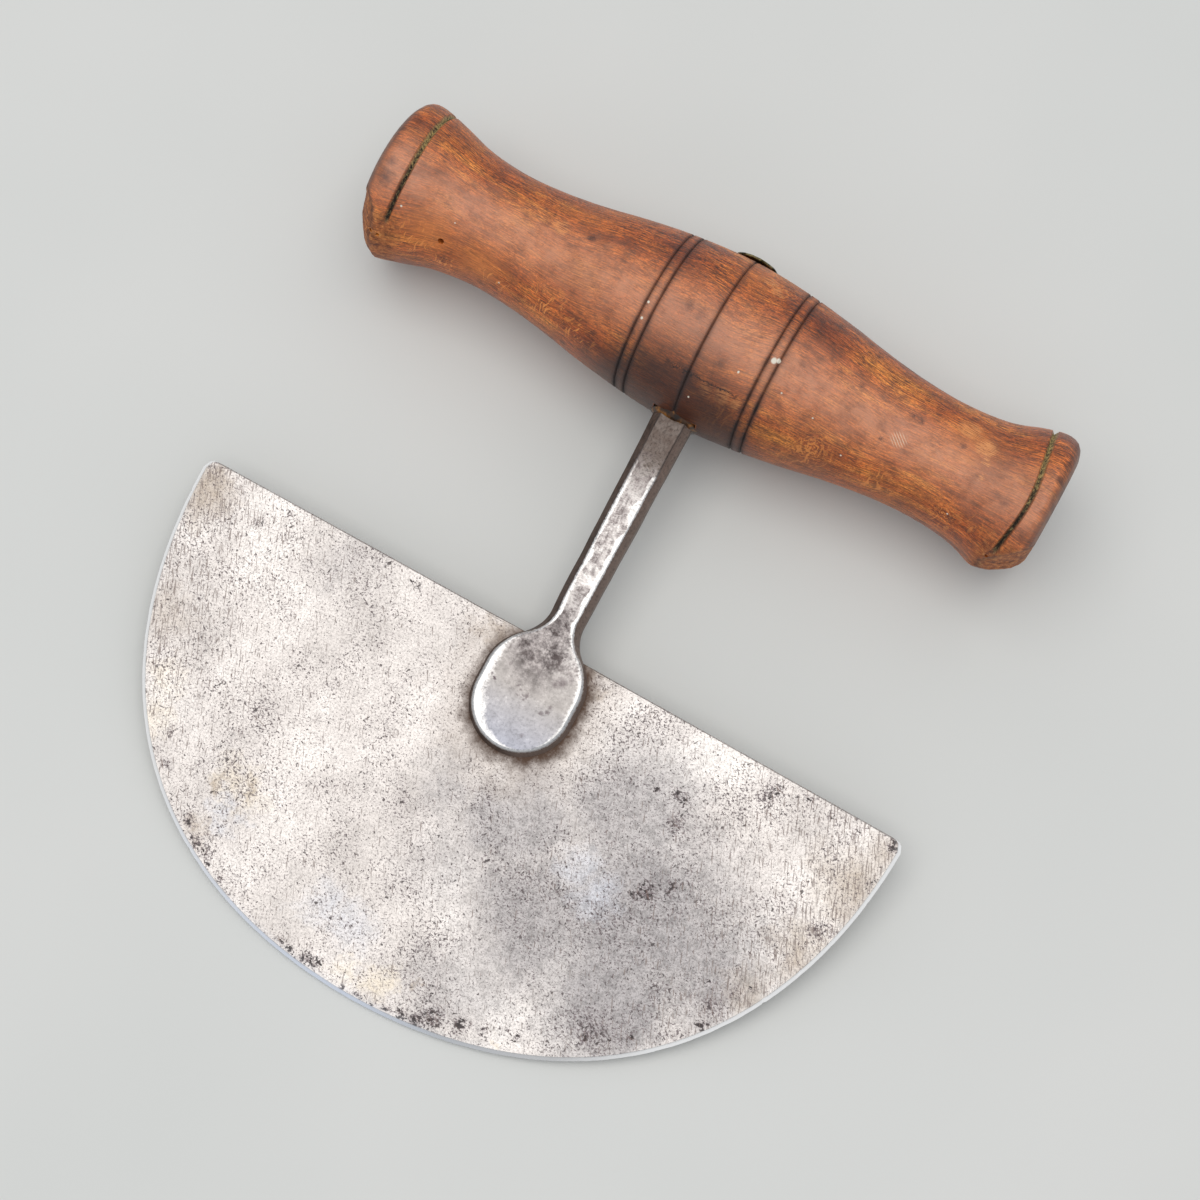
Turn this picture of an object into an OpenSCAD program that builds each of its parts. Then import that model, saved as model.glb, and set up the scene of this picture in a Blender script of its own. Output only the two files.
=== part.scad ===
// One-hand herb chopper: half-round blade, forged stem and turned T handle.
// It lies on its side as it would on a table: the handle's belly and the
// cutting edge touch the table, and the stem runs between them.

/* [Blade] */
// Half the width of the blade along its spine
blade_half_w = 89.1; // [80:0.1:100]
// Depth of the blade from its spine to the lowest point of the edge
blade_depth = 88.3; // [80:0.1:100]
// How far the two shoulders of the curve swell beyond a half circle
blade_swell = 2.85; // [0:0.05:5]
// How much fuller the left shoulder is than the right one
swell_skew = 0.55; // [-1:0.05:1]
// Thickness of the plate
blade_t = 1.8; // [1.2:0.1:3]
// Width of the ground bevel along the edge
bevel_w = 0.9; // [0.6:0.1:3]
// Thickness left at the cutting edge
edge_t = 0.3; // [0.2:0.05:0.6]
// Radius of the blunted corners at the spine's ends
corner_r = 2.4; // [0.4:0.1:4]
// Distance from the handle's axis to the spine
spine_drop = 78.5; // [70:0.1:85]
// Height of the slight crown of the spine
spine_crown = 0.3; // [0:0.05:1]
// How far the blade sits off the stem's foot, along the spine
blade_shift = 1.4; // [-3:0.1:3]
// Small skew of the spine against the handle
blade_skew = -0.4; // [-2:0.05:2]

/* [Stem] */
// Lean of the hand-forged stem towards one side
stem_lean = 1.4; // [-3:0.1:3]
// Distance from the handle's axis to the middle of the palm
palm_drop = 90; // [86:0.1:93]
// Radius of the palm's round ends, where they meet the blade
palm_r = 12; // [10:0.1:14]
// Length of the straight part between the palm's two round ends
palm_long = 4.8; // [2:0.1:8]
// Thickness of each cheek of the split palm
cheek_t = 2.9; // [2:0.1:4]
// Rounding of the palm's shoulder
palm_bevel = 0.9; // [0.5:0.1:1.6]
// How far the palm's wall slopes in between the blade and the shoulder
palm_draft = 0.7; // [0.2:0.1:1.5]
// Radius of the hollow curve between palm and shank
neck_r = 9; // [7:0.5:16]
// Width and depth of the shank at the neck
shank_foot = [8.2, 6.5]; // [5:0.1:10]
// Width and depth of the shank at the handle
shank_head = [9.4, 7.5]; // [5:0.1:10]
// Chamfer along the shank's four corners
shank_chamfer = 1.65; // [0.8:0.05:2.2]
// Side of the square tang
tang_w = 5.2; // [4:0.1:5.4]

/* [Handle] */
// Half the length of the handle
handle_half_l = 84; // [82:0.5:86]
// Radius of the belly in the middle of the handle
belly_r = 20.5; // [19.8:0.1:22]
// Radius of each waist
waist_r = 14.1; // [13:0.1:15]
// Radius of the bead at the right end
bead_r = 18.5; // [18:0.1:19.2]
// How much longer, then how much fuller, the left end was turned
left_more = [0.7, 0.5]; // [0:0.1:1]
// Radius of the drilled hole for the tang
bore_r = 4; // [3.9:0.1:4.6]
// Distance from the middle to the V grooves: left end, then right end
end_groove_x = [76.8, 77.5]; // [76:0.1:78]
// Width and depth of the end grooves
end_groove = [1.5, 1.0]; // [0.5:0.1:2]
// Width and depth of the five scribed and burnt lines
line_groove = [0.7, 0.35]; // [0.2:0.05:1]
// Centre of the curve of the worn lower corners: from the middle, and from the axis
worn_at = [74.9, 7.6]; // [7:0.1:76]
// Radius of that curve
worn_r = 9.65; // [9.4:0.05:10]
// Turn of the worn corner round the handle: left end, then right end
worn_turn = [12, -12]; // [-30:1:30]
// How far out of the wood the curve sits, where less was worn off: left end, then right end
worn_ease = [2.3, 0]; // [0:0.1:2.5]
// Angle through which each corner rocked as it wore
worn_swing = 20; // [0:1:25]

/* [Top washer and rivets] */
// Radius of the domed washer
rove_r = 5.4; // [4.4:0.1:6]
// Thickness of the washer at its rim
rove_rim_t = 0.7; // [0.5:0.1:1]
// Rise of the washer's dome above its rim
rove_dome = 0.5; // [0.3:0.1:1]
// Radius of the round tang end that is riveted over
peen_r = 2.4; // [1.5:0.1:2.4]
// Rise of the riveted tang end above the washer
peen_rise = 0.7; // [0.4:0.1:1.5]
// Radius of the palm rivet's shank
rivet_r = 4; // [2.5:0.1:5]
// Radius and depth of the rivet's countersunk heads
rivet_head = [7, 1.5]; // [1:0.1:8]

/* [Hidden] */
$fn = 96;
// Depth to which the top of the handle is cut flat for the washer
seat_y = belly_r - 0.3;
rove_top_y = seat_y + rove_rim_t + rove_dome;
// Mortise in the handle that takes the head of the shank
mortise_floor_y = -(belly_r - 3.6);
mortise = [shank_head[0] + 1.2, shank_head[1] + 1.2];
// The square tang stops short of the washer and goes on round
tang_top_y = seat_y - 3;
palm_t = blade_t + 2 * cheek_t;
palm_top_y = -palm_drop + palm_long / 2;
neck_top_y = palm_top_y + sqrt(pow(palm_r + neck_r, 2) - pow(shank_foot[0] / 2 + neck_r, 2));
// Tilt that lets the belly and the cutting edge both touch the table
lie_tilt = asin((belly_r - blade_t / 2) / (spine_drop + blade_depth - bevel_w));
lie_back = ((spine_drop + blade_depth) - (rove_top_y + peen_rise)) / 2 * cos(lie_tilt);
// Stations of the handle's outline: distance from the middle, then radius
stations = [
  [-14, belly_r - 0.9], [0, belly_r], [14, belly_r - 0.9], [26, belly_r - 2.6],
  [36, waist_r + 1.9], [46, waist_r + 0.5], [56, waist_r], [66, waist_r + 0.8],
  [74, waist_r + 2.95], [80, bead_r], [82.6, bead_r - 0.9], [84, bead_r - 4.1]
];
line_xs = [-15.4, -12.9, 0.1, 14.3, 16.8];
overlap = 0.01;

// Turns the tool from its upright drawing into its place on the table
module lie_down() {
  translate([-blade_shift, lie_back, belly_r]) rotate([lie_tilt, 0, 0]) children();
}

// The stem's own line, leaning slightly from the handle's middle
module along_stem() {
  rotate([0, 0, stem_lean]) children();
}

// Middle of the spine, with the blade's skew
module at_spine() {
  translate([blade_shift, -spine_drop, 0]) rotate([0, 0, blade_skew]) children();
}

// Distance from the middle of the spine to the edge, at an angle below the spine
function blade_reach(a) =
  blade_half_w + (blade_depth - blade_half_w) * sin(a) + blade_swell * pow(sin(2 * a), 2)
  - 2 * swell_skew * cos(a) * pow(sin(a), 2);

// Outline of the blade: a half circle with fuller shoulders, under a slightly crowned spine
module blade_outline(steps = 72) {
  polygon(concat(
    [for (i = [0 : steps]) let (a = 180 * i / steps) blade_reach(a) * [cos(a), -sin(a)]],
    [for (i = [1 : 11]) let (t = i / 6 - 1) [blade_half_w * t, spine_crown * (1 - t * t)]]
  ));
}

// Half of the plate's thickness, tapering outward to the cutting edge
module blade_half() {
  rise = (blade_t - edge_t) / 2;
  shrink = 1 - bevel_w / blade_half_w;
  linear_extrude(height = edge_t / 2) blade_outline();
  translate([0, 0, edge_t / 2]) linear_extrude(height = rise, scale = shrink) blade_outline();
}

// Cuts one corner of the spine round
module corner_cut(side) {
  difference() {
    translate([side * blade_half_w, 0, 0]) cube([2 * corner_r, 2 * corner_r, 2 * blade_t], center = true);
    translate([side * (blade_half_w - corner_r), -corner_r, 0])
      cylinder(r = corner_r, h = 3 * blade_t, center = true, $fn = 32);
  }
}

module blade() {
  color([0.62, 0.61, 0.59]) lie_down() difference() {
    at_spine() difference() {
      union() {
        blade_half();
        mirror([0, 0, 1]) blade_half();
      }
      corner_cut(1);
      corner_cut(-1);
    }
    along_stem() translate([0, -palm_drop, 0]) cylinder(r = rivet_r, h = 2 * palm_t, center = true);
  }
}

// Plan of the shank and of the neck's hollow curves
module stem_plan() {
  foot = shank_foot[0] / 2;
  head = shank_head[0] / 2;
  neck_x = foot + neck_r;
  tangent = palm_r / (palm_r + neck_r);
  touch_y = palm_top_y + (neck_top_y - palm_top_y) * tangent;
  difference() {
    polygon([
      [-neck_x * tangent, touch_y], [-neck_x * tangent, neck_top_y], [-foot, neck_top_y], [-head, mortise_floor_y],
      [head, mortise_floor_y], [foot, neck_top_y], [neck_x * tangent, neck_top_y], [neck_x * tangent, touch_y],
      [0, palm_top_y]
    ]);
    for (side = [-1, 1]) translate([side * neck_x, neck_top_y]) circle(r = neck_r);
  }
}

// Side view of the shank, thickening into the palm
module stem_side() {
  foot = shank_foot[1] / 2;
  head = shank_head[1] / 2;
  low = -palm_drop;
  rotate([90, 0, 90]) linear_extrude(height = 4 * palm_r, center = true) polygon([
    [low, -palm_t / 2], [low + palm_r * 0.5, -palm_t / 2], [neck_top_y, -foot], [mortise_floor_y, -head],
    [mortise_floor_y, head], [neck_top_y, foot], [low + palm_r * 0.5, palm_t / 2], [low, palm_t / 2]
  ]);
}

// The chamfered shank with its neck, drawn down to the middle of the palm
module shank() {
  intersection() {
    linear_extrude(height = 2 * palm_t, center = true) stem_plan();
    stem_side();
    chamfer_sleeve();
  }
}

// A four-sided sleeve turned 45 degrees, which leaves the chamfers
module chamfer_sleeve() {
  foot = (shank_foot[0] + shank_foot[1]) / 2 - shank_chamfer;
  head = (shank_head[0] + shank_head[1]) / 2 - shank_chamfer;
  wide = palm_r + palm_t / 2 - palm_bevel;
  half = [[wide, -palm_drop], [wide, -palm_drop + palm_r * 0.3], [foot, neck_top_y], [head, mortise_floor_y]];
  outline = concat(
    [for (p = half) [p[0] / sqrt(2), p[1]]],
    [for (i = [3 : -1 : 0]) [-half[i][0] / sqrt(2), half[i][1]]]
  );
  intersection_for (turn = [-45, 45]) rotate([0, turn, 0])
    linear_extrude(height = 6 * palm_r, center = true) polygon(outline);
}

// Palm: a flat face, two round ends with a short straight part between, a rounded shoulder, and a wall that slopes out
module palm_disc() {
  shoulder = palm_r - palm_draft;
  half_t = palm_t / 2;
  upper = [
    [palm_r, blade_t / 2], [shoulder, half_t - palm_bevel], [shoulder - palm_bevel * 0.3, half_t - palm_bevel * 0.3],
    [shoulder - palm_bevel, half_t], [0, half_t]
  ];
  half = concat(upper, [for (i = [4 : -1 : 0]) [upper[i][0], -upper[i][1]]]);
  for (end = [-0.5, 0.5]) translate([0, end * palm_long - palm_drop, 0]) rotate_extrude() polygon(half);
  translate([0, palm_long / 2 - palm_drop, 0]) rotate([90, 0, 0]) linear_extrude(height = palm_long)
    polygon(concat(upper, [for (i = [3 : -1 : 0]) [-upper[i][0], upper[i][1]]],
      [for (i = [0 : 3]) [-upper[i][0], -upper[i][1]]], [for (i = [4 : -1 : 0]) [upper[i][0], -upper[i][1]]]));
}

// Square tang with the round end that is riveted over the washer
module tang() {
  translate([-tang_w / 2, mortise_floor_y - overlap, -tang_w / 2])
    cube([tang_w, tang_top_y - mortise_floor_y + overlap, tang_w]);
  translate([0, tang_top_y - overlap, 0]) rotate([-90, 0, 0]) rotate_extrude() polygon([
    [0, 0], [peen_r, 0], [peen_r, rove_top_y - tang_top_y + overlap],
    [peen_r * 0.85, rove_top_y - tang_top_y + peen_rise * 0.6],
    [peen_r * 0.5, rove_top_y - tang_top_y + peen_rise * 0.92], [0, rove_top_y - tang_top_y + peen_rise]
  ]);
}

module rivet_body() {
  half_t = palm_t / 2;
  head_r = rivet_head[0];
  head_d = rivet_head[1];
  translate([0, -palm_drop, 0]) rotate_extrude() polygon([
    [0, -half_t], [head_r, -half_t], [rivet_r, head_d - half_t],
    [rivet_r, half_t - head_d], [head_r, half_t], [0, half_t]
  ]);
}

module stem() {
  color([0.42, 0.40, 0.39]) lie_down() difference() {
    along_stem() difference() {
      union() {
        palm_disc();
        shank();
        tang();
      }
      rivet_body();
    }
    at_spine() translate([-2 * palm_r, -4 * palm_r, -blade_t / 2]) cube([4 * palm_r, 4 * palm_r, blade_t]);
  }
}

module palm_rivet() {
  color([0.50, 0.49, 0.48]) lie_down() along_stem() rivet_body();
}

// Smooth curve through the stations, as a turner's eye would join them
function hermite(p0, p1, p2, p3, t) =
  let (m1 = (p2[1] - p0[1]) / (p2[0] - p0[0]) * (p2[0] - p1[0]))
  let (m2 = (p3[1] - p1[1]) / (p3[0] - p1[0]) * (p2[0] - p1[0]))
  (2 * pow(t, 3) - 3 * pow(t, 2) + 1) * p1[1] + (pow(t, 3) - 2 * pow(t, 2) + t) * m1
  + (3 * pow(t, 2) - 2 * pow(t, 3)) * p2[1] + (pow(t, 3) - pow(t, 2)) * m2;

function ramp(x, from, to) = min(max((x - from) / (to - from), 0), 1);

// The stations of an end that is longer and fuller by more
function drawn_out(more) = [for (s = stations) [s[0] + more[0] * ramp(s[0], 76, 82), s[1] + more[1] * ramp(s[0], 60, 72)]];

// Half of the handle's outline through stations s, from the middle to the flat end
function half_outline(s, steps = 4) = concat(
  [for (i = [1 : len(s) - 3], k = [0 : steps - 1])
    [s[i][0] + (s[i + 1][0] - s[i][0]) * k / steps, hermite(s[i - 1], s[i], s[i + 1], s[i + 2], k / steps)]],
  [s[len(s) - 2], s[len(s) - 1]]
);

module turned_handle() {
  left = half_outline(drawn_out(left_more));
  right = half_outline(stations);
  last = len(left) - 1;
  stretch = handle_half_l / 84;
  rotate([0, 90, 0]) rotate_extrude() polygon(concat(
    [[0, -left[last][0] * stretch]],
    [for (i = [last : -1 : 1]) [left[i][1], -left[i][0] * stretch]],
    [for (p = right) [p[1], p[0] * stretch]],
    [[0, right[last][0] * stretch]]
  ));
}

// A V-shaped ring cut at x, from the radius r inward
module ring_cut(x, r, size) {
  lip = 1;
  run = size[0] / 2 * (size[1] + lip) / size[1];
  translate([x, 0, 0]) rotate([0, 90, 0]) rotate_extrude() polygon([[r - size[1], 0], [r + lip, run], [r + lip, -run]]);
}

// What years of standing and knocking took off the lower corner of one end
module worn_away(side, turn, ease) {
  big = 2 * belly_r;
  slope = 62.7;
  at = [worn_at[0] + ease * cos(slope), -worn_at[1] - ease * sin(slope), 0];
  mirror([side < 0 ? 1 : 0, 0, 0]) rotate([-turn, 0, 0]) translate(at) difference() {
    rotate([0, 0, -slope]) translate([worn_r - 2.95, -big / 2, -big / 2]) cube(big);
    cylinder(r = worn_r, h = 2 * big, center = true);
  }
}

module tang_hole() {
  translate([0, mortise_floor_y - overlap, 0]) rotate([-90, 0, 0]) cylinder(r = bore_r, h = 2 * belly_r);
  translate([-mortise[0] / 2, -belly_r - 2, -mortise[1] / 2])
    cube([mortise[0], mortise_floor_y + belly_r + 2, mortise[1]]);
}

module handle() {
  line_r = [belly_r - 1.1, belly_r - 0.78, belly_r, belly_r - 0.94, belly_r - 1.3];
  color([0.56, 0.32, 0.19]) lie_down() difference() {
    turned_handle();
    for (i = [0 : len(line_xs) - 1]) ring_cut(line_xs[i], line_r[i], line_groove);
    ring_cut(-end_groove_x[0], waist_r + 3.95 + left_more[1], end_groove);
    ring_cut(end_groove_x[1], waist_r + 4.05, end_groove);
    for (swing = [-1, 0, 1]) {
      worn_away(-1, worn_turn[0] + swing * worn_swing, worn_ease[0]);
      worn_away(1, worn_turn[1] + swing * worn_swing, worn_ease[1]);
    }
    along_stem() tang_hole();
    along_stem() translate([0, seat_y, 0]) rotate([-90, 0, 0]) cylinder(r = rove_r, h = belly_r);
  }
}

module tang_bedding() {
  color([0.45, 0.29, 0.13]) lie_down() along_stem() difference() {
    union() {
      translate([0, mortise_floor_y - overlap, 0]) rotate([-90, 0, 0])
        cylinder(r = bore_r, h = seat_y - mortise_floor_y + overlap);
      translate([-mortise[0] / 2, -belly_r + 0.2, -mortise[1] / 2])
        cube([mortise[0], mortise_floor_y + belly_r - 0.2, mortise[1]]);
    }
    tang();
    shank();
  }
}

module rove() {
  top = rove_rim_t + rove_dome;
  color([0.50, 0.43, 0.26]) lie_down() along_stem() translate([0, seat_y, 0]) rotate([-90, 0, 0])
    rotate_extrude() polygon([
      [peen_r, 0], [rove_r, 0], [rove_r, rove_rim_t], [rove_r * 0.82, rove_rim_t + rove_dome * 0.55],
      [rove_r * 0.6, top - rove_dome * 0.1], [peen_r, top]
    ]);
}

blade();
stem();
palm_rivet();
handle();
tang_bedding();
rove();
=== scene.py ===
"""A half-round herb chopper lying on a pale table: ground blade, forged stem, turned beech T handle."""
import math
import bmesh
import bpy
from mathutils import Matrix, Vector, noise


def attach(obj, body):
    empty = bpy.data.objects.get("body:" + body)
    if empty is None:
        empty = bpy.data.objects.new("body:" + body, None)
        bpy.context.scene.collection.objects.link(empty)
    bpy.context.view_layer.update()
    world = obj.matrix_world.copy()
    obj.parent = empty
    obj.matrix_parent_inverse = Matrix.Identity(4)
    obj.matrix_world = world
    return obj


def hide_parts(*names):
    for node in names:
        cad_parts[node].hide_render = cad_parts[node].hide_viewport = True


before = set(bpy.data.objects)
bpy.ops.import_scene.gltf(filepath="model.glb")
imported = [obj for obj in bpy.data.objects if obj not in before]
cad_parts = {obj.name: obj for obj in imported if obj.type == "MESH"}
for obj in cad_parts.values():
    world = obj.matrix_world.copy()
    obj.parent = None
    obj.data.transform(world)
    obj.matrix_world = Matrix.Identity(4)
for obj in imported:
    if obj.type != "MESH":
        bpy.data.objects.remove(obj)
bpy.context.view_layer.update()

MM = 0.001

# Driving sizes of the tool in millimetres, as the solids have them
BLADE_HALF_W, BLADE_DEPTH, BLADE_SWELL, SWELL_SKEW, SPINE_CROWN = 89.1, 88.3, 2.85, 0.55, 0.3
BLADE_T, BEVEL_W, EDGE_T, CORNER_R = 1.8, 0.9, 0.3, 2.4
SPINE_DROP, BLADE_SHIFT, BLADE_SKEW = 78.5, 1.4, math.radians(-0.4)
STEM_LEAN = math.radians(1.4)
PALM_DROP, PALM_R, PALM_LONG, CHEEK_T, PALM_BEVEL, PALM_DRAFT, NECK_R = 90.0, 12.0, 4.8, 2.9, 0.9, 0.7, 9.0
SHANK_FOOT, SHANK_HEAD, SHANK_CHAMFER = (8.2, 6.5), (9.4, 7.5), 1.65
TANG_W, BORE_R = 5.2, 4.0
BELLY_R, WAIST_R, BEAD_R, LEFT_MORE = 20.5, 14.1, 18.5, (0.7, 0.5)
END_GROOVE_X, END_GROOVE, LINE_GROOVE = {-1: 76.8, 1: 77.5}, (1.5, 1.0), (0.7, 0.35)
LINE_XS = (-15.4, -12.9, 0.1, 14.3, 16.8)
WORN_AT, WORN_R, WORN_TURN, WORN_EASE, WORN_SWING = (74.9, 7.6), 9.65, {-1: 12, 1: -12}, {-1: 2.3, 1: 0.0}, 20
ROVE_R, ROVE_RIM_T, ROVE_DOME, PEEN_R, PEEN_RISE = 5.4, 0.7, 0.5, 2.4, 0.7
RIVET_R, RIVET_HEAD = 4.0, (7.0, 1.5)

# Places that follow from them
PALM_HALF_T = BLADE_T / 2 + CHEEK_T
SEAT_Y = BELLY_R - 0.3
ROVE_TOP_Y = SEAT_Y + ROVE_RIM_T + ROVE_DOME
MORTISE_FLOOR_Y = -(BELLY_R - 3.6)
PALM_LOW_Y, PALM_TOP_Y = -PALM_DROP - PALM_LONG / 2, -PALM_DROP + PALM_LONG / 2
NECK_TOP_Y = PALM_TOP_Y + math.sqrt((PALM_R + NECK_R) ** 2 - (SHANK_FOOT[0] / 2 + NECK_R) ** 2)
LIE_TILT = math.asin((BELLY_R - BLADE_T / 2) / (SPINE_DROP + BLADE_DEPTH - BEVEL_W))
LIE_BACK = ((SPINE_DROP + BLADE_DEPTH) - (ROVE_TOP_Y + PEEN_RISE)) / 2 * math.cos(LIE_TILT)

TO_TABLE = (
    Matrix.Scale(MM, 4)
    @ Matrix.Translation((-BLADE_SHIFT, LIE_BACK, BELLY_R))
    @ Matrix.Rotation(LIE_TILT, 4, "X")
)
AT_STEM = TO_TABLE @ Matrix.Rotation(STEM_LEAN, 4, "Z")
AT_SPINE = TO_TABLE @ Matrix.Translation((BLADE_SHIFT, -SPINE_DROP, 0)) @ Matrix.Rotation(BLADE_SKEW, 4, "Z")


def srgb(code):
    """A hex colour as the linear RGBA that the shaders use."""
    parts = [int(code[i:i + 2], 16) / 255 for i in (1, 3, 5)]
    return tuple(c / 12.92 if c <= 0.04045 else ((c + 0.055) / 1.055) ** 2.4 for c in parts) + (1.0,)


def add(tree, kind, sockets=None, stops=None, out=0, **settings):
    """Adds a shader node, sets its properties, sockets and ramp, links what it is given, and returns one output."""
    made = tree.nodes.new("ShaderNode" + kind)
    for name, value in settings.items():
        setattr(made, name, value)
    for key, value in (sockets or {}).items():
        if isinstance(value, bpy.types.NodeSocket):
            tree.links.new(value, made.inputs[key])
        else:
            made.inputs[key].default_value = value
    if stops:
        ramp = made.color_ramp.elements
        while len(ramp) < len(stops):
            ramp.new(0.5)
        for element, (place, shade) in zip(ramp, stops):
            element.position = place
            element.color = srgb(shade) if isinstance(shade, str) else (shade, shade, shade, 1.0)
    return made.outputs[out] if made.outputs else None


def lay_over(tree, shade, coats, blend="MIX"):
    """Lays tones over a shade one after the other, each through its own mask."""
    for mask, tone in coats:
        tone = srgb(tone) if isinstance(tone, str) else tone
        shade = add(tree, "Mix", {0: mask, 6: shade, 7: tone}, out=2, data_type="RGBA", blend_type=blend)
    return shade


def new_material(name):
    """An empty node material with its output and a Principled shader."""
    material = bpy.data.materials.new(name)
    material.use_nodes = True
    tree = material.node_tree
    tree.nodes.clear()
    surface = add(tree, "BsdfPrincipled")
    add(tree, "OutputMaterial", {"Surface": surface})
    return material, tree, surface.node


def finish_material(tree, shader, **links):
    """Joins the finished patterns to the shader's sockets, with their names' spaces as underscores."""
    for name, value in links.items():
        tree.links.new(value, shader.inputs[name.replace("_", " ")])


def in_mm(tree, matrix):
    """The surface's place in the millimetres of one of the tool's own frames."""
    place, turn = matrix.decompose()[:2]
    return add(tree, "Mapping", {
        "Vector": add(tree, "TexCoord", out="Object"), "Location": place, "Rotation": turn.to_euler(),
        "Scale": (MM, MM, MM),
    }, vector_type="TEXTURE")


def finish_piece(bm, name, matrix, material, replaced, crease=35):
    """Puts a finished bmesh in its place on the table as a piece that rides on the tool's one body."""
    bmesh.ops.transform(bm, matrix=matrix, verts=bm.verts)
    bmesh.ops.recalc_face_normals(bm, faces=bm.faces)
    mesh = bpy.data.meshes.new(name)
    bm.to_mesh(mesh)
    bm.free()
    mesh.materials.append(material)
    piece = bpy.data.objects.new(name, mesh)
    bpy.context.scene.collection.objects.link(piece)
    soften(mesh, crease)
    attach(piece, "root")
    for node_name in replaced:
        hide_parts(node_name)
    return piece


def soften(mesh, crease):
    """Smooth shading that keeps the edges sharper than the crease angle."""
    mesh.shade_smooth()
    mesh.set_sharp_from_angle(angle=math.radians(crease))


def carve(piece, cutter, matrix, crease=35):
    """Cuts the shape of a bmesh out of a finished piece."""
    bmesh.ops.transform(cutter, matrix=matrix, verts=cutter.verts)
    bmesh.ops.recalc_face_normals(cutter, faces=cutter.faces)
    mesh = bpy.data.meshes.new("cutter")
    cutter.to_mesh(mesh)
    cutter.free()
    tool = bpy.data.objects.new("cutter", mesh)
    bpy.context.scene.collection.objects.link(tool)
    cut = piece.modifiers.new("cut", "BOOLEAN")
    cut.operation = "DIFFERENCE"
    cut.solver = "EXACT"
    cut.object = tool
    shaped = bpy.data.meshes.new_from_object(piece.evaluated_get(bpy.context.evaluated_depsgraph_get()))
    piece.modifiers.clear()
    bpy.data.objects.remove(tool)
    bpy.data.meshes.remove(mesh)
    whole = piece.data
    name = whole.name
    piece.data = shaped
    bpy.data.meshes.remove(whole)
    shaped.name = name
    soften(shaped, crease)


def spin_profile(bm, points, axis, steps):
    """Turns a profile of points once round an axis through the origin; returns the new vertices."""
    before = set(bm.verts)
    verts = [bm.verts.new(p) for p in points]
    edges = [bm.edges.new(pair) for pair in zip(verts, verts[1:])]
    bmesh.ops.spin(
        bm, geom=verts + edges, cent=(0, 0, 0), axis=axis, dvec=(0, 0, 0), angle=2 * math.pi,
        steps=steps, use_merge=True, use_normal_flip=False, use_duplicate=False,
    )
    bmesh.ops.remove_doubles(bm, verts=[v for v in bm.verts if v not in before], dist=1e-5)
    return [v for v in bm.verts if v not in before]


def add_box(bm, low, high):
    """A plain block between two corners, for cutting."""
    made = bmesh.ops.create_cube(bm, size=1.0)["verts"]
    for vert in made:
        vert.co = Vector((low[i] + (high[i] - low[i]) * (vert.co[i] + 0.5) for i in range(3)))
    return made


def ramp(low, high, value):
    return min(max((value - low) / (high - low), 0.0), 1.0)


def smoothstep(low, high, value):
    t = ramp(low, high, value)
    return t * t * (3 - 2 * t)


# Camera at the photograph's viewing angle
CAMERA_PLACE = Vector((67.254 - BLADE_SHIFT, LIE_BACK - 191.533, 520.996)) * MM
CAMERA_LOOK = Vector((-0.11643, 0.24276, -0.96307))
CAMERA_RIGHT = Vector((0.87270, 0.48795, 0.01749))
FOCAL_PX, FRAME_PX, SENSOR_MM = 2372.3, 1200, 36.0


def make_camera():
    data = bpy.data.cameras.new("camera")
    data.sensor_width = SENSOR_MM
    data.lens = SENSOR_MM * FOCAL_PX / FRAME_PX
    data.clip_start = 0.01
    camera = bpy.data.objects.new("camera", data)
    back = -CAMERA_LOOK.normalized()
    up = back.cross(CAMERA_RIGHT).normalized()
    right = up.cross(back)
    camera.matrix_world = Matrix.Translation(CAMERA_PLACE) @ Matrix((right, up, back)).transposed().to_4x4()
    bpy.context.scene.collection.objects.link(camera)
    bpy.context.scene.camera = camera


def add_area_light(name, place, target, size, power, shade):
    data = bpy.data.lights.new(name, "AREA")
    data.shape = "RECTANGLE"
    data.size, data.size_y = size
    data.energy = power
    data.color = srgb(shade)[:3]
    light = bpy.data.objects.new(name, data)
    light.location = place
    light.rotation_euler = (Vector(target) - Vector(place)).to_track_quat("-Z", "Y").to_euler()
    bpy.context.scene.collection.objects.link(light)


def make_studio():
    """Soft light from a window behind the handle and a bright ceiling to the left, over a plain pale table."""
    scene = bpy.context.scene
    scene.view_settings.view_transform = "Standard"
    world = bpy.data.worlds.new("studio")
    world.use_nodes = True
    scene.world = world
    background = world.node_tree.nodes["Background"]
    background.inputs["Color"].default_value = srgb("#edf1f6")
    background.inputs["Strength"].default_value = 0.62
    add_area_light("skylight", (-0.2, -0.12, 1.5), (-0.2, -0.12, 0), (1.7, 1.5), 13.0, "#fffaf4")
    add_area_light("window", (0.35, 0.9, 1.3), (0, 0, 0), (0.8, 0.8), 1.5, "#fffaf2")

    material, tree, shader = new_material("table_paint")
    where = add(tree, "TexCoord", out="Object")
    cloud = add(tree, "TexNoise", {"Vector": where, "Scale": 9.0, "Detail": 2.0})
    tint = add(tree, "ValToRGB", {0: cloud}, stops=[(0.3, "#d3d5d3"), (0.7, "#d8d9d7")])
    tree.links.new(tint, shader.inputs["Base Color"])
    shader.inputs["Roughness"].default_value = 0.75
    shader.inputs["Specular IOR Level"].default_value = 0.3
    bm = bmesh.new()
    bmesh.ops.create_grid(bm, x_segments=1, y_segments=1, size=4.0)
    mesh = bpy.data.meshes.new("table")
    bm.to_mesh(mesh)
    bm.free()
    mesh.materials.append(material)
    table = bpy.data.objects.new("table", mesh)
    scene.collection.objects.link(table)


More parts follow.
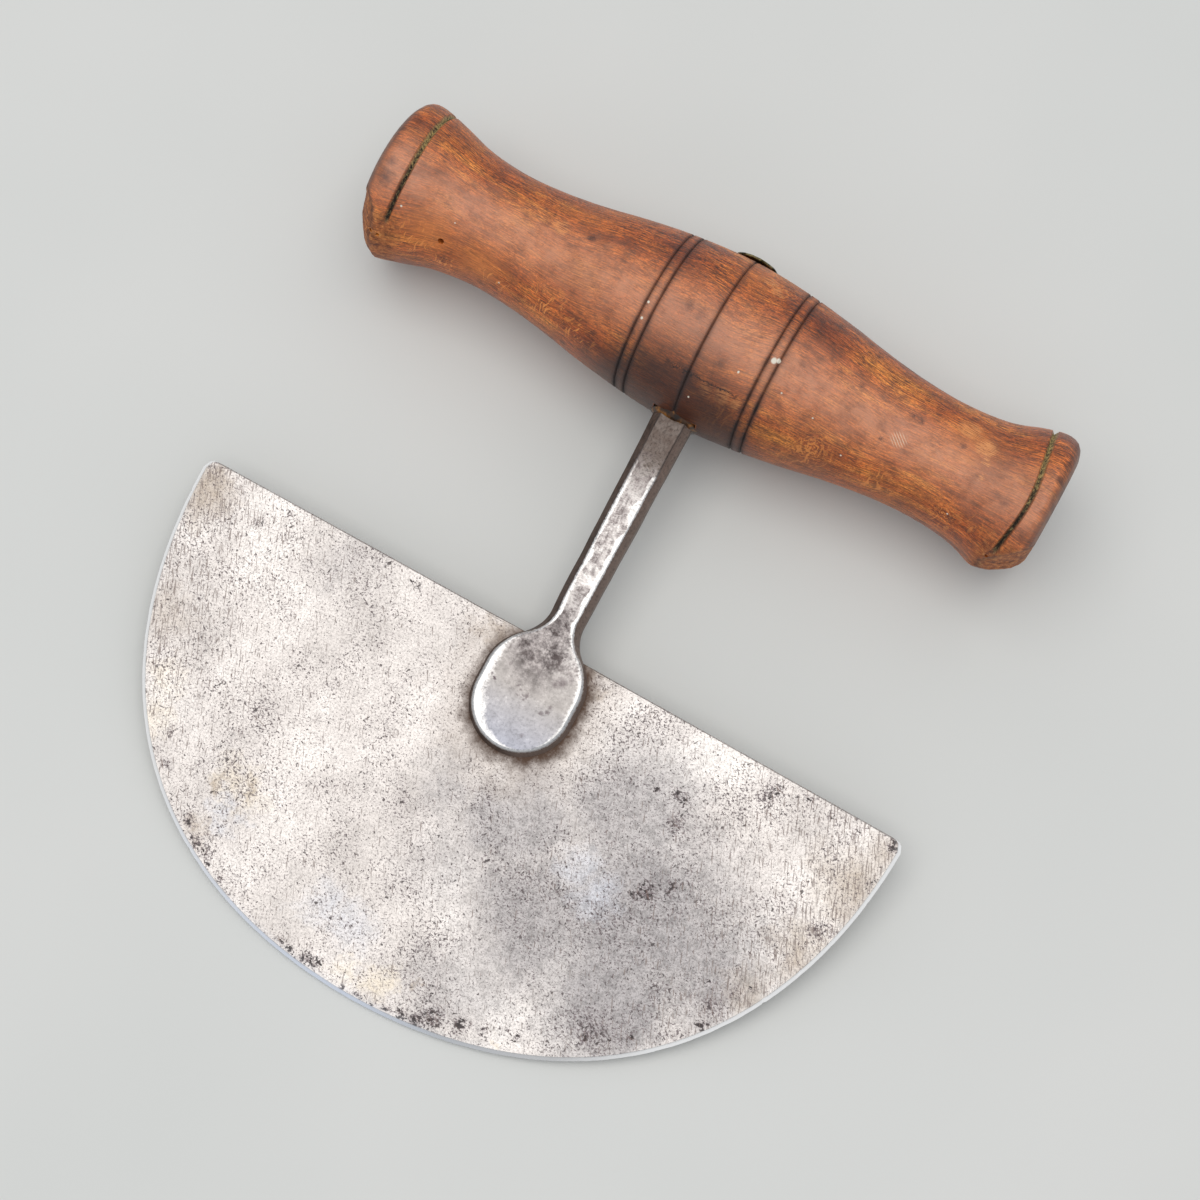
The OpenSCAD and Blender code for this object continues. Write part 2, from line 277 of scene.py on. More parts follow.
# Stains on the blade, and patches of painted shade: place in the spine's frame, radius, strength
DARK_STAINS = (
    (45.1, -36.3, 3, 1), (43.6, -37.4, 2.2, 0.9), (49.5, -32.6, 1.7, 0.8), (40.6, -14.8, 2.3, 0.8),
    (36, -16.4, 1.4, 0.7), (42.6, -15.4, 1.8, 0.7), (58.6, -3.5, 3.2, 0.6), (57.9, -5.9, 2.2, 0.6),
    (54.6, -12, 2.4, 0.55), (66, -1.3, 1.5, 0.6), (71.9, -2.2, 1.2, 0.7), (78.5, -2.9, 1.3, 0.6),
    (66.3, -46.4, 1.3, 0.7), (68.8, -55.4, 1.7, 1), (75.4, -43.3, 1.6, 0.75), (87, -1.4, 2.2, 1),
    (88.6, -2.2, 1.8, 1), (86.8, -10, 2, 0.75), (-50.8, -73, 2.4, 0.7), (-46.3, -75.9, 2.2, 0.6),
    (-43.6, -76.9, 1.6, 0.8), (-42.3, -78.3, 1, 0.9), (-37.6, -79.9, 0.9, 0.8), (-19.5, -85.1, 1.3, 0.9),
    (-16.4, -85.6, 1.6, 0.85), (-12.6, -85.6, 2.3, 0.85), (-10.4, -85.4, 2.2, 0.85), (-2.4, -86.8, 1.1, 0.9),
    (1.2, -87, 1.1, 0.9), (4.6, -86.8, 1.4, 0.9), (8.1, -86.3, 1.9, 0.9), (11.7, -85.6, 2.6, 1),
    (15.2, -84.9, 2.5, 1), (18.4, -83.1, 3.2, 1), (23.9, -81, 2.8, 1), (28.7, -79.7, 1.2, 0.9),
    (32.9, -77.6, 1.2, 0.8), (36.3, -77.6, 1.6, 0.7), (42.2, -75.8, 1, 0.8), (49.2, -70.8, 2, 0.7),
    (53.8, -67.9, 2, 0.75), (57.3, -65.5, 1.7, 0.8), (-33, -2.4, 2.2, 0.55), (-66, -2.6, 1.8, 0.5),
    (-43.1, -27.2, 1.5, 0.6), (-38.5, -31, 2, 0.5), (-70.6, -7.6, 2.4, 0.45), (14.9, -77.4, 1.4, 0.4),
)
GREY_STAINS = (
    (-64, -57.5, 1.5, 0.9), (-64.3, -55.6, 0.9, 0.6), (-64.3, -62.6, 1.8, 0.8), (-61.6, -64.3, 2.2, 1),
    (42.7, -19.9, 2.8, 0.8), (69.1, -50.7, 5, 0.8), (72.1, -45.8, 3, 0.7), (81.3, -25.9, 3, 0.75),
    (83.5, -24, 2, 0.6), (50.7, -67.2, 7, 0.6), (-11, -46, 7, 0.5), (-48.4, -2.6, 3, 0.35), (86, -11.6, 3, 0.6),
)
PAINTED_SHADE_PATCHES = (
    (-4, -38, 14, 0.55), (14, -38, 22, 0.75), (6, -50, 20, 0.5), (34, -24, 26, 0.75), (48, -42, 34, 1),
    (62, -42, 26, 0.8), (50, -62, 24, 1), (28, -54, 30, 0.8), (20, -72, 18, 0.55), (-49, -5, 12, 0.35),
)
BLUE_TINTS = (
    (-45.9, -65.9, 4, 0.9), (-43, -70.6, 3.6, 0.8), (-39.6, -65.7, 3.2, 0.7), (-14.8, -73.5, 7.5, 0.9),
    (-6.9, -74, 7, 0.9), (28.9, -38.9, 6, 0.8), (36.4, -43.3, 6.5, 0.9),
)
CREAM_TINTS = (
    (-48, -61, 5, 0.8), (-42, -60.4, 5, 0.8), (-3.7, -83.8, 4, 0.8), (3.4, -83.2, 4.6, 1), (-71, -48, 6, 0.7),
    (-69, -57, 6, 0.7), (30.5, -80.7, 1.4, 1),
)
BROWN_TINTS = (
    (-85, -7, 9, 0.75), (-50.1, -63, 2.2, 0.7), (-42.4, -60.8, 2.6, 0.55), (-47, -74, 4, 0.6), (10.5, -3.5, 6, 0.8),
    (-12.5, -3, 5, 0.6), (84, -14, 13, 0.75), (86, -5, 8, 0.5), (-79, -36, 9, 0.35), (81, -32, 9, 0.7),
    (74, -44, 8, 0.5), (11.5, -80, 2.2, 0.6),
)


def spread(tree, at, places, soft):
    """One mask for a list of round places, strongest wins."""
    mask = None
    for x, y, radius, strength in places:
        away = add(tree, "VectorMath", {0: at, 1: (x, y, 0)}, out="Value", operation="DISTANCE")
        spot = add(tree, "MapRange", {
            "Value": away, "From Min": radius, "From Max": soft * radius, "To Min": 0.0, "To Max": strength,
        })
        mask = spot if mask is None else add(tree, "Math", {0: mask, 1: spot}, operation="MAXIMUM")
    return mask


def flat_and_bent(tree, where, scale, reach):
    """The same place pressed flat and shaken by a noise, so that the outlines of marks come out ragged."""
    flat = add(tree, "VectorMath", {0: where, 1: (1, 1, 0)}, operation="MULTIPLY")
    bent = add(tree, "TexNoise", {"Vector": where, "Scale": scale, "Detail": 4.0, "Roughness": 0.75}, out="Color")
    bent = add(tree, "VectorMath", {0: bent, 1: (0.5, 0.5, 0.5)}, operation="SUBTRACT")
    bent = add(tree, "VectorMath", {0: bent, 1: (reach, reach, 0)}, operation="MULTIPLY")
    return add(tree, "VectorMath", {0: flat, 1: bent}, operation="ADD")


def flecks(tree, where, size, turn, low, crowd=None):
    """A mask of small ragged marks of a size in millimetres, drawn out in one direction and thicker where crowded."""
    turned = (0, 0, math.radians(turn))
    at = add(tree, "Mapping", {"Vector": where, "Rotation": turned, "Scale": (*size, 1)}, vector_type="TEXTURE")
    grain = add(tree, "TexNoise", {"Vector": at, "Scale": 1.0, "Detail": 2.0, "Roughness": 0.6})
    if crowd is not None:
        grain = add(tree, "Math", {0: grain, 1: crowd}, operation="ADD")
    return add(tree, "MapRange", {"Value": grain, "From Min": low, "From Max": low + 0.06})


# Ground carbon steel: near white where it was rubbed, peppered with fine dark pits, with brown and blue stains, and
# broad patches of painted shade where the plate reflects less light
def make_ground_steel():
    material, tree, shader = new_material("ground_carbon_steel")
    where = in_mm(tree, AT_SPINE)
    bent = flat_and_bent(tree, where, 0.35, 6.0)
    drifted = flat_and_bent(tree, where, 0.12, 20.0)
    along = add(tree, "SeparateXYZ", {0: where})

    # The polished ground, darkened in broad patches of painted shade for the dimmer reflection across the middle of
    # the plate, and tinted in small ones
    patches = add(tree, "TexNoise", {"Vector": where, "Scale": 0.035, "Detail": 5.0, "Roughness": 0.62})
    shade = add(tree, "ValToRGB", {0: patches}, stops=[(0.34, "#bdb8b5"), (0.5, "#cfcac7"), (0.64, "#dfdbd8")])
    painted_shade = spread(tree, flat_and_bent(tree, where, 0.05, 26.0), PAINTED_SHADE_PATCHES, 0.25)
    painted_shade = add(tree, "MapRange", {"Value": painted_shade}, interpolation_type="SMOOTHSTEP")
    coats = [(painted_shade, "#9b9899")]
    for places, tone, share in (
        (BLUE_TINTS, "#bdc3cf", 0.5), (CREAM_TINTS, "#d3c8b4", 0.65), (BROWN_TINTS, "#93836f", 0.9),
    ):
        tint = spread(tree, drifted, places, 0.0)
        coats.append((add(tree, "Math", {0: tint, 1: share}, operation="MULTIPLY"), tone))
    shade = lay_over(tree, shade, coats)

    # The grit of the wheel, and a curdled darkening that is strongest under the painted shade
    grit = add(tree, "TexNoise", {"Vector": where, "Scale": 2.1, "Detail": 4.0, "Roughness": 0.75})
    speckle = add(tree, "ValToRGB", {0: grit}, stops=[(0.4, 0.4), (0.47, 0.85), (0.53, 1.0), (0.6, 1.1)])
    curdle = add(tree, "TexNoise", {"Vector": where, "Scale": 0.6, "Detail": 5.0, "Roughness": 0.72})
    curdle = add(tree, "ValToRGB", {0: curdle}, stops=[(0.4, 0.68), (0.5, 0.97), (0.6, 1.12)])
    strength = add(tree, "MapRange", {"Value": painted_shade, "To Min": 0.25, "To Max": 0.85})
    shade = lay_over(tree, shade, ((0.55, speckle), (strength, curdle)), "MULTIPLY")

    # Rust pits, scratches and the hatching of the ends, crowded where the stains are
    rust = spread(tree, bent, GREY_STAINS + DARK_STAINS, 0.0)
    black = spread(tree, bent, DARK_STAINS, 0.0)
    coats = [(add(tree, "Math", {0: rust, 1: 0.4}, operation="MULTIPLY"), "#8b8585")]
    crowd = add(tree, "TexNoise", {"Vector": where, "Scale": 0.055, "Detail": 5.0, "Roughness": 0.68})
    crowd = add(tree, "MapRange", {
        "Value": crowd, "From Min": 0.35, "From Max": 0.68, "To Min": -0.05, "To Max": 0.06,
    })
    crowd = add(tree, "Math", {0: rust, 1: 0.15, 2: crowd}, operation="MULTIPLY_ADD")
    black = add(tree, "Math", {0: black, 1: 0.33, 2: -0.05}, operation="MULTIPLY_ADD")
    ends = add(tree, "Math", {0: along}, operation="ABSOLUTE")
    ends = add(tree, "MapRange", {"Value": ends, "From Min": 45.0, "From Max": 80.0, "To Min": -0.05, "To Max": 0.03})
    pits = None
    for size, turn, low, thick, tone, depth in (
        ((0.6, 0.42), 20, 0.6, crowd, "#85777a", 0.75), ((0.95, 0.6), -42, 0.625, crowd, "#665b5c", 0.85),
        ((1.6, 1.1), 60, 0.68, crowd, "#514848", 0.8), ((1.1, 0.8), 10, 0.66, black, "#3f3838", 0.9),
        ((3.4, 0.36), -66, 0.58, ends, "#8f7f78", 0.6),
        ((11.0, 0.4), -14, 0.725, crowd, "#7d655d", 0.6), ((9.0, 0.45), -48, 0.73, crowd, "#7d655d", 0.6),
    ):
        marks = flecks(tree, where, size, turn, low, thick)
        marks = add(tree, "Math", {0: marks, 1: depth}, operation="MULTIPLY")
        coats.append((marks, tone))
        pits = marks if pits is None else add(tree, "Math", {0: pits, 1: marks}, operation="MAXIMUM")

    # A brown ring round the palm, rust from damp under a painted contact shadow, a wider painted shade round the
    # palm, and the honed edge with a painted bluish-white reflection along it
    ends_at = [AT_SPINE.inverted() @ AT_STEM @ Vector((0.5, y - 0.5, 0)) for y in (PALM_LOW_Y, PALM_TOP_Y)]
    rust_and_shadow_ring = spread(tree, bent, [(at.x, at.y, PALM_R + 3.6, 1.0) for at in ends_at], (PALM_R - 0.5) / (PALM_R + 3.6))
    rust_and_shadow_ring = add(tree, "Math", {0: rust_and_shadow_ring, 1: 1.5}, operation="POWER")
    painted_shade_round_palm = spread(tree, drifted, [(at.x, at.y, PALM_R + 11, 0.42) for at in ends_at], (PALM_R - 1) / (PALM_R + 11))
    honed = add(tree, "Attribute", out="Fac", attribute_name="honed")
    side = add(tree, "MapRange", {"Value": along, "From Min": -90.0, "From Max": 90.0})
    # Bare honed steel, coloured with a painted bluish-white reflection that changes along the edge
    honed_edge_and_glint = add(tree, "ValToRGB", {0: side}, stops=[
        (0.15, "#f4f4f4"), (0.34, "#e2e7f1"), (0.5, "#dbe2ef"),
        (0.62, "#c9ccd1"), (0.75, "#d2d2d3"), (0.85, "#fafafa"),
    ])
    shade = lay_over(tree, shade, coats + [(painted_shade_round_palm, "#85786d"), (rust_and_shadow_ring, "#5a4436"), (honed, honed_edge_and_glint)])

    dulled_and_shaded = add(tree, "Math", {0: pits, 1: rust_and_shadow_ring}, operation="MAXIMUM")
    dulled_and_shaded = add(tree, "Math", {0: dulled_and_shaded, 1: honed}, operation="MAXIMUM")
    metal = add(tree, "MapRange", {"Value": dulled_and_shaded, "To Min": 0.9, "To Max": 0.3})
    rough = add(tree, "MapRange", {"Value": dulled_and_shaded, "To Min": 0.4, "To Max": 0.7})
    height = add(tree, "Math", {0: pits, 1: -0.6, 2: grit}, operation="MULTIPLY_ADD")
    bump = add(tree, "Bump", {"Height": height, "Strength": 0.2, "Distance": 0.0001})
    finish_material(tree, shader, Base_Color=shade, Metallic=metal, Roughness=rough, Normal=bump)
    return material


# Marks on the palm: place in the stem's frame, radius, strength
PALM_MARKS = (
    (6, -84.6, 1.8, 0.7), (4.9, -85.6, 1.2, 0.6), (7.4, -83, 1.3, 0.6), (0.3, -91, 0.9, 0.7),
    (-2.4, -89.6, 0.45, 0.7), (-1.4, -90.2, 0.45, 0.8), (-0.6, -91.2, 0.45, 0.8), (0.2, -91.9, 0.4, 0.7),
    (-1.6, -91.6, 0.4, 0.6), (-9.2, -87.6, 0.4, 0.9), (-9.3, -88.6, 0.4, 0.9), (-8.7, -89.8, 0.45, 0.9),
    (-7.9, -90.6, 0.5, 0.9), (5, -92.9, 0.7, 0.6), (6, -92, 0.7, 0.7), (6.2, -90.9, 0.7, 0.6),
    (-0.5, -84.2, 0.7, 0.6), (0.3, -84.9, 0.6, 0.6), (-6, -86, 0.6, 0.5), (3.5, -99, 0.7, 0.35),
)


# Forged iron: rubbed pewter-bright on faces and edges, with a painted highlight along the rims, dark brown where
# hands and stones don't reach
def make_forged_iron():
    material, tree, shader = new_material("forged_iron_rubbed_bright")
    where = in_mm(tree, AT_STEM)
    wear = add(tree, "Attribute", out="Fac", attribute_name="wear")
    arris_highlight = add(tree, "Attribute", out="Fac", attribute_name="arris_highlight")
    mottle = add(tree, "TexNoise", {"Vector": where, "Scale": 0.42, "Detail": 6.0, "Roughness": 0.74})
    fine = add(tree, "TexNoise", {"Vector": where, "Scale": 1.7, "Detail": 4.0, "Roughness": 0.7})
    across, up = add(tree, "SeparateXYZ", {0: where}).node.outputs[:2]

    # Zones: the palm polished by the hand, soot near the handle, a dark mottled crown over the neck
    polished = add(tree, "MapRange", {"Value": up, "From Min": -78.0, "From Max": -86.0})
    polished = add(tree, "Math", {0: polished, 1: mottle, 2: polished}, operation="MULTIPLY_ADD")
    polished = add(tree, "MapRange", {"Value": polished, "From Min": 0.4, "From Max": 1.3})
    soot_at = add(tree, "Math", {0: mottle, 1: 26.0, 2: up}, operation="MULTIPLY_ADD")
    sooty = add(tree, "MapRange", {"Value": soot_at, "From Min": -28.0, "From Max": -17.0, "To Max": 0.92})
    crown = add(tree, "VectorMath", {0: where, 1: (1.5, 77.5, 0)}, operation="ADD")
    crown = add(tree, "VectorMath", {0: crown, 1: (0.14, 0.085, 0)}, operation="MULTIPLY")
    crown = add(tree, "VectorMath", {0: crown}, out="Value", operation="LENGTH")
    crown = add(tree, "MapRange", {"Value": crown, "From Min": 1.3, "From Max": 0.5, "To Max": 0.95})

    # The bright faces, and a painted highlight along the rims and edges
    smooth = add(tree, "MapRange", {"Value": up, "From Min": -90.0, "From Max": -102.0})
    smooth = lay_over(tree, srgb("#9a9694"), ((smooth, "#9496a0"),))
    cloud = add(tree, "ValToRGB", {0: mottle}, stops=[(0.36, 0.86), (0.5, 0.99), (0.64, 1.1)])
    smooth = lay_over(tree, smooth, ((1.0, cloud),), "MULTIPLY")
    marked = spread(tree, flat_and_bent(tree, where, 0.9, 2.0), PALM_MARKS, 0.3)
    smooth = lay_over(tree, smooth, ((marked, "#4f4448"),))
    blotch = add(tree, "ValToRGB", {0: mottle}, stops=[
        (0.36, "#675f5f"), (0.46, "#a19b9a"), (0.56, "#c9c5c3"), (0.64, "#dcd9d7"),
    ])
    scale = add(tree, "ValToRGB", {0: mottle}, stops=[(0.4, "#463f3f"), (0.5, "#716b6b"), (0.6, "#979190")])
    # Painted highlight along the rims and edges, dimmed where the soot is
    highlight_band = add(tree, "Math", {0: fine, 1: mottle}, operation="ADD")
    highlight_band = add(tree, "Math", {0: highlight_band, 1: 1.1, 2: arris_highlight}, operation="MULTIPLY_ADD")
    highlight_band = add(tree, "MapRange", {"Value": highlight_band, "From Min": 1.3, "From Max": 1.95})
    dimmed = add(tree, "MapRange", {"Value": sooty, "From Max": 0.65, "To Min": 1.0, "To Max": 0.0})
    highlight_band = add(tree, "Math", {0: highlight_band, 1: dimmed}, operation="MULTIPLY")
    bright = lay_over(tree, blotch, ((polished, smooth), (crown, scale), (sooty, "#4f443e"), (highlight_band, "#e0dfde")))

    # The dark sides, painted lighter toward the +x side where light falls on them, and a ragged border between the
    # two
    dark = add(tree, "ValToRGB", {0: mottle}, stops=[(0.35, "#3b2d25"), (0.65, "#5d4c43")])
    lit_side = add(tree, "MapRange", {"Value": across, "From Min": 0.0, "From Max": 4.6, "To Max": 0.6})
    dark = lay_over(tree, dark, ((lit_side, "#8d7c73"),))
    shift = add(tree, "MapRange", {"Value": fine, "From Min": 0.3, "From Max": 0.7, "To Min": -0.3, "To Max": 0.3})
    worn = add(tree, "Math", {0: wear, 1: shift}, operation="ADD")
    worn = add(tree, "MapRange", {"Value": worn, "From Min": 0.35, "From Max": 0.6})
    shade = lay_over(tree, dark, ((worn, bright),))
    specks = add(tree, "ValToRGB", {0: fine}, stops=[(0.37, 0.45), (0.46, 0.92), (0.53, 1.0), (0.62, 1.12)])
    grainy = add(tree, "MapRange", {"Value": polished, "To Min": 0.8, "To Max": 0.4})
    shade = lay_over(tree, shade, ((grainy, specks),), "MULTIPLY")

    metal = add(tree, "MapRange", {"Value": worn, "To Min": 0.2, "To Max": 1.0})
    rough = add(tree, "MapRange", {"Value": worn, "To Min": 0.5, "To Max": 0.34})
    depth = add(tree, "MapRange", {"Value": polished, "To Min": 0.4, "To Max": 0.06})
    bump = add(tree, "Bump", {"Height": mottle, "Strength": depth, "Distance": 0.0005})
    finish_material(tree, shader, Base_Color=shade, Metallic=metal, Roughness=rough, Normal=bump)
    return material


# Marks on the handle, and patches of painted light and painted shade, unrolled: distance along it, arc round it from
# the top at a radius of 17, radius, strength
UNROLL_R = 17.0
DARK_SPOTS = (
    (-33.4, 2.5, 1.7, 0.8), (-44, 1, 1.4, 0.45), (34.8, 1.3, 0.8, 0.7), (28.2, -1.3, 1, 0.5), (47.6, 1.2, 1.1, 0.7),
    (50, 1.1, 0.8, 0.7), (60.2, 0.4, 1.2, 0.75), (43.8, -8.2, 0.9, 0.9), (74, -7.6, 1.2, 0.6),
    (65.1, -18.7, 1.3, 0.7), (-6.5, -2, 1.6, 0.5), (-3.2, -2.8, 1.8, 0.5), (5.6, -8.8, 2.4, 0.5),
    (-81.3, -6.7, 2.2, 0.6), (-82.9, 3.6, 1.2, 0.8), (-79.5, -24, 3, 0.5), (-80.4, -7.2, 2.6, 0.75),
    (-80.9, -3.8, 2, 0.6), (0.5, -14.6, 2.6, 0.7), (-8, -15.5, 3, 0.6), (82, 2, 1.3, 0.7), (80.5, -12, 2.2, 0.6),
    (76.5, -19.5, 2.4, 0.8), (67, 4, 2.2, 0.35),
)
PALE_SPECKS = (
    (-14.8, -5.1, 0.32, 1), (-14.5, -8.4, 0.34, 1), (9.9, -8.9, 0.3, 1), (2.2, -18.1, 0.26, 0.9),
    (-74.7, -11.5, 0.3, 0.9), (-62.7, -10, 0.22, 0.8), (-48.6, -20.3, 0.28, 0.9), (37.7, -16.5, 0.26, 1),
    (64.2, -18, 0.26, 1), (28.7, -10.7, 0.22, 0.9), (20.3, -8.8, 0.24, 0.8), (15.6, -3.9, 0.75, 1),
    (16.5, -3.5, 0.6, 1),
)
RUBBED_RAW = (
    (64.9, 2.6, 3, 1), (66.4, -1, 1.4, 0.9), (66.8, -5, 1.2, 0.8), (60, 6, 3.4, 0.7), (-41, 1.8, 2.6, 0.7),
    (9, -14.6, 2.2, 1), (5, -14.8, 1.8, 0.9), (12.3, -15, 1.6, 0.9), (-80, -18, 4, 0.5), (6, 12, 2, 0.6),
    (8.5, 10, 1.6, 0.6),
)
KNOTS = (
    (31.5, -18, 8, 1), (63.4, -18.3, 6, 0.9), (8.9, -17.6, 5.5, 0.8), (41.1, -18.9, 5, 0.8), (9.5, 11, 7, 0.7),
)
PAINTED_LIGHT_ON_WOOD = (
    (-67, -15.5, 9, 1), (-54, -18, 9, 1), (62, 3, 9, 0.6), (-36, 9, 8, 0.4), (3, 12, 8, 0.5),
)
PAINTED_SHADE_ON_WOOD = (
    (29, -22, 13, 0.9), (10, -21, 8, 0.8), (54, -23, 10, 0.6), (70, -1.5, 9, 0.6), (-31, -8, 10, 0.35),
    (-20, -22, 9, 0.6), (78, -2, 7, 0.5),
)
RAY_FLECKS = (
    (-70, -18.5, 7, 1), (-62, -24, 6, 0.9), (10, -22.5, 6, 0.9), (-50, -19.5, 6, 0.9), (-36, -18.5, 8, 1),
    (-27, -19.5, 6, 0.9), (30, -19.5, 9, 0.7), (9, -18, 6, 0.8), (46, -20, 8, 0.7), (63, -20, 7, 0.7),
    (70, -16, 4, 0.5),
)


# Turned beech: orange-brown and waxed from handling, with a painted sheen along the top, dark pores, golden ray
# flecks and burnt lines
def make_turned_beech():
    material, tree, shader = new_material("turned_beech_waxed")
    where = in_mm(tree, TO_TABLE @ Matrix.Rotation(-LIE_TILT, 4, "X"))
    along, over, up = add(tree, "SeparateXYZ", {0: where}).node.outputs
    turn = add(tree, "Math", {0: over, 1: up}, operation="ARCTAN2")
    arc = add(tree, "Math", {0: turn, 1: UNROLL_R}, operation="MULTIPLY")
    unrolled = add(tree, "CombineXYZ", {0: along, 1: arc})
    ragged = flat_and_bent(tree, unrolled, 0.9, 3.0)
    flow = add(tree, "TexNoise", {"Vector": where, "Scale": 0.03, "Detail": 1.0, "Roughness": 0.5}, out="Color")
    flow = add(tree, "VectorMath", {0: flow, 1: (0.5, 0.5, 0.5)}, operation="SUBTRACT")
    flow = add(tree, "VectorMath", {0: flow, 1: (0.0, 7.0, 0.0)}, operation="MULTIPLY")
    grain = add(tree, "VectorMath", {0: unrolled, 1: flow}, operation="ADD")

    # Growth rings and knots give the colour; streaks, fibres, pores and a mottle darken it
    cloud = add(tree, "TexNoise", {"Vector": where, "Scale": 0.055, "Detail": 4.0, "Roughness": 0.6})
    mottle = add(tree, "TexNoise", {"Vector": grain, "Scale": 0.22, "Detail": 5.0, "Roughness": 0.7})
    knots = spread(tree, flat_and_bent(tree, unrolled, 0.2, 6.0), KNOTS, 0.0)
    lines = add(tree, "Math", {0: knots, 1: 46.0}, operation="MULTIPLY")
    lines = add(tree, "Math", {0: lines}, operation="SINE")
    lines = add(tree, "Math", {0: lines, 1: knots}, operation="MULTIPLY")
    layers = {}
    for name, size, detail in (
        ("rings", (26, 2.6), 4.0), ("streaks", (15, 0.8), 3.0),
        ("fibres", (3.2, 0.27), 3.0), ("pores", (0.7, 0.22), 2.0),
    ):
        at = add(tree, "Mapping", {"Vector": grain, "Scale": (*size, 1)}, vector_type="TEXTURE")
        layers[name] = add(tree, "TexNoise", {"Vector": at, "Scale": 1.0, "Detail": detail, "Roughness": 0.65})
    layers["mottle"] = mottle
    tone = add(tree, "Math", {0: layers["rings"], 1: cloud}, operation="ADD")
    tone = add(tree, "Math", {0: lines, 1: 0.1, 2: tone}, operation="MULTIPLY_ADD")
    tone = add(tree, "Math", {0: tone, 1: 0.5}, operation="MULTIPLY")
    shade = add(tree, "ValToRGB", {0: tone}, stops=[
        (0.38, "#853a12"), (0.46, "#b0561f"), (0.54, "#c96c2a"), (0.64, "#de8a3a"),
    ])
    for name, stops, share in (
        ("streaks", [(0.38, 0.5), (0.47, 0.92), (0.64, 1.15)], 0.8),
        ("fibres", [(0.39, 0.28), (0.47, 0.82), (0.54, 1.06), (0.63, 1.45)], 0.95),
        ("pores", [(0.4, 0.45), (0.48, 0.94), (0.62, 1.25)], 0.9),
        ("mottle", [(0.38, 0.66), (0.49, 0.98), (0.62, 1.16)], 0.8),
    ):
        veil = add(tree, "ValToRGB", {0: layers[name]}, stops=stops)
        shade = lay_over(tree, shade, ((share, veil),), "MULTIPLY")

    # Dirt, dark pores, a painted sheen along the top, and patches of painted light and painted shade
    dirt = add(tree, "TexNoise", {"Vector": unrolled, "Scale": 0.08, "Detail": 6.0, "Roughness": 0.72})
    dirt = add(tree, "MapRange", {"Value": dirt, "From Min": 0.53, "From Max": 0.63, "To Max": 0.42})
    upper = add(tree, "MapRange", {"Value": turn, "From Min": -1.0, "From Max": 0.5, "To Min": -0.08, "To Max": 0.01})
    dash = flecks(tree, grain, (2.8, 0.42), 0, 0.57, upper)
    dashes = add(tree, "Math", {0: dash, 1: 0.85}, operation="MULTIPLY")
    # Painted sheen: a pale band along the top, a little to the front, broken up by the mottle
    away = add(tree, "Math", {0: turn, 1: 0.3}, operation="ADD")
    away = add(tree, "Math", {0: away}, operation="ABSOLUTE")
    painted_sheen = add(tree, "MapRange", {"Value": away, "From Min": 0.8, "From Max": 0.0}, interpolation_type="SMOOTHSTEP")
    broken = add(tree, "MapRange", {
        "Value": mottle, "From Min": 0.38, "From Max": 0.6, "To Min": 0.4, "To Max": 0.7,
    })
    painted_sheen = add(tree, "Math", {0: painted_sheen, 1: broken}, operation="MULTIPLY")
    # Patches of painted light and painted shade, lightening and darkening the wood where light falls more or less
    drifted = flat_and_bent(tree, unrolled, 0.15, 9.0)
    painted_light = add(tree, "Math", {0: spread(tree, drifted, PAINTED_LIGHT_ON_WOOD, 0.0), 1: layers["fibres"]}, operation="MULTIPLY")
    painted_light = add(tree, "Math", {0: painted_light, 1: 1.5}, operation="MULTIPLY", use_clamp=True)
    dulled_and_shaded = add(tree, "Math", {0: spread(tree, drifted, PAINTED_SHADE_ON_WOOD, 0.0), 1: 0.6}, operation="MULTIPLY")

    # Ray flecks as short crescents, and rings round the knots
    curl = add(tree, "TexNoise", {"Vector": unrolled, "Scale": 0.12, "Detail": 1.0})
    curl = add(tree, "Math", {0: curl, 1: 7.0}, operation="MULTIPLY")
    curl = add(tree, "VectorMath", {0: unrolled, 1: add(tree, "CombineXYZ", {0: curl})}, operation="ADD")
    flecked = spread(tree, flat_and_bent(tree, unrolled, 0.3, 4.0), RAY_FLECKS, 0.2)
    crescents = add(tree, "Math", {0: flecks(tree, curl, (3.4, 0.75), 78, 0.56), 1: flecked}, operation="MULTIPLY")
    ringed = add(tree, "MapRange", {"Value": lines, "From Min": 0.3, "From Max": 0.75, "To Max": 0.7})
    golden = add(tree, "Math", {0: crescents, 1: ringed}, operation="MAXIMUM")
    shade = lay_over(tree, shade, (
        (dirt, "#6a3a2a"), (dashes, "#45200f"), (painted_sheen, "#d08f6c"), (painted_light, "#cf7c40"), (dulled_and_shaded, "#6c3a22"),
        (golden, "#e18c44"),
    ))

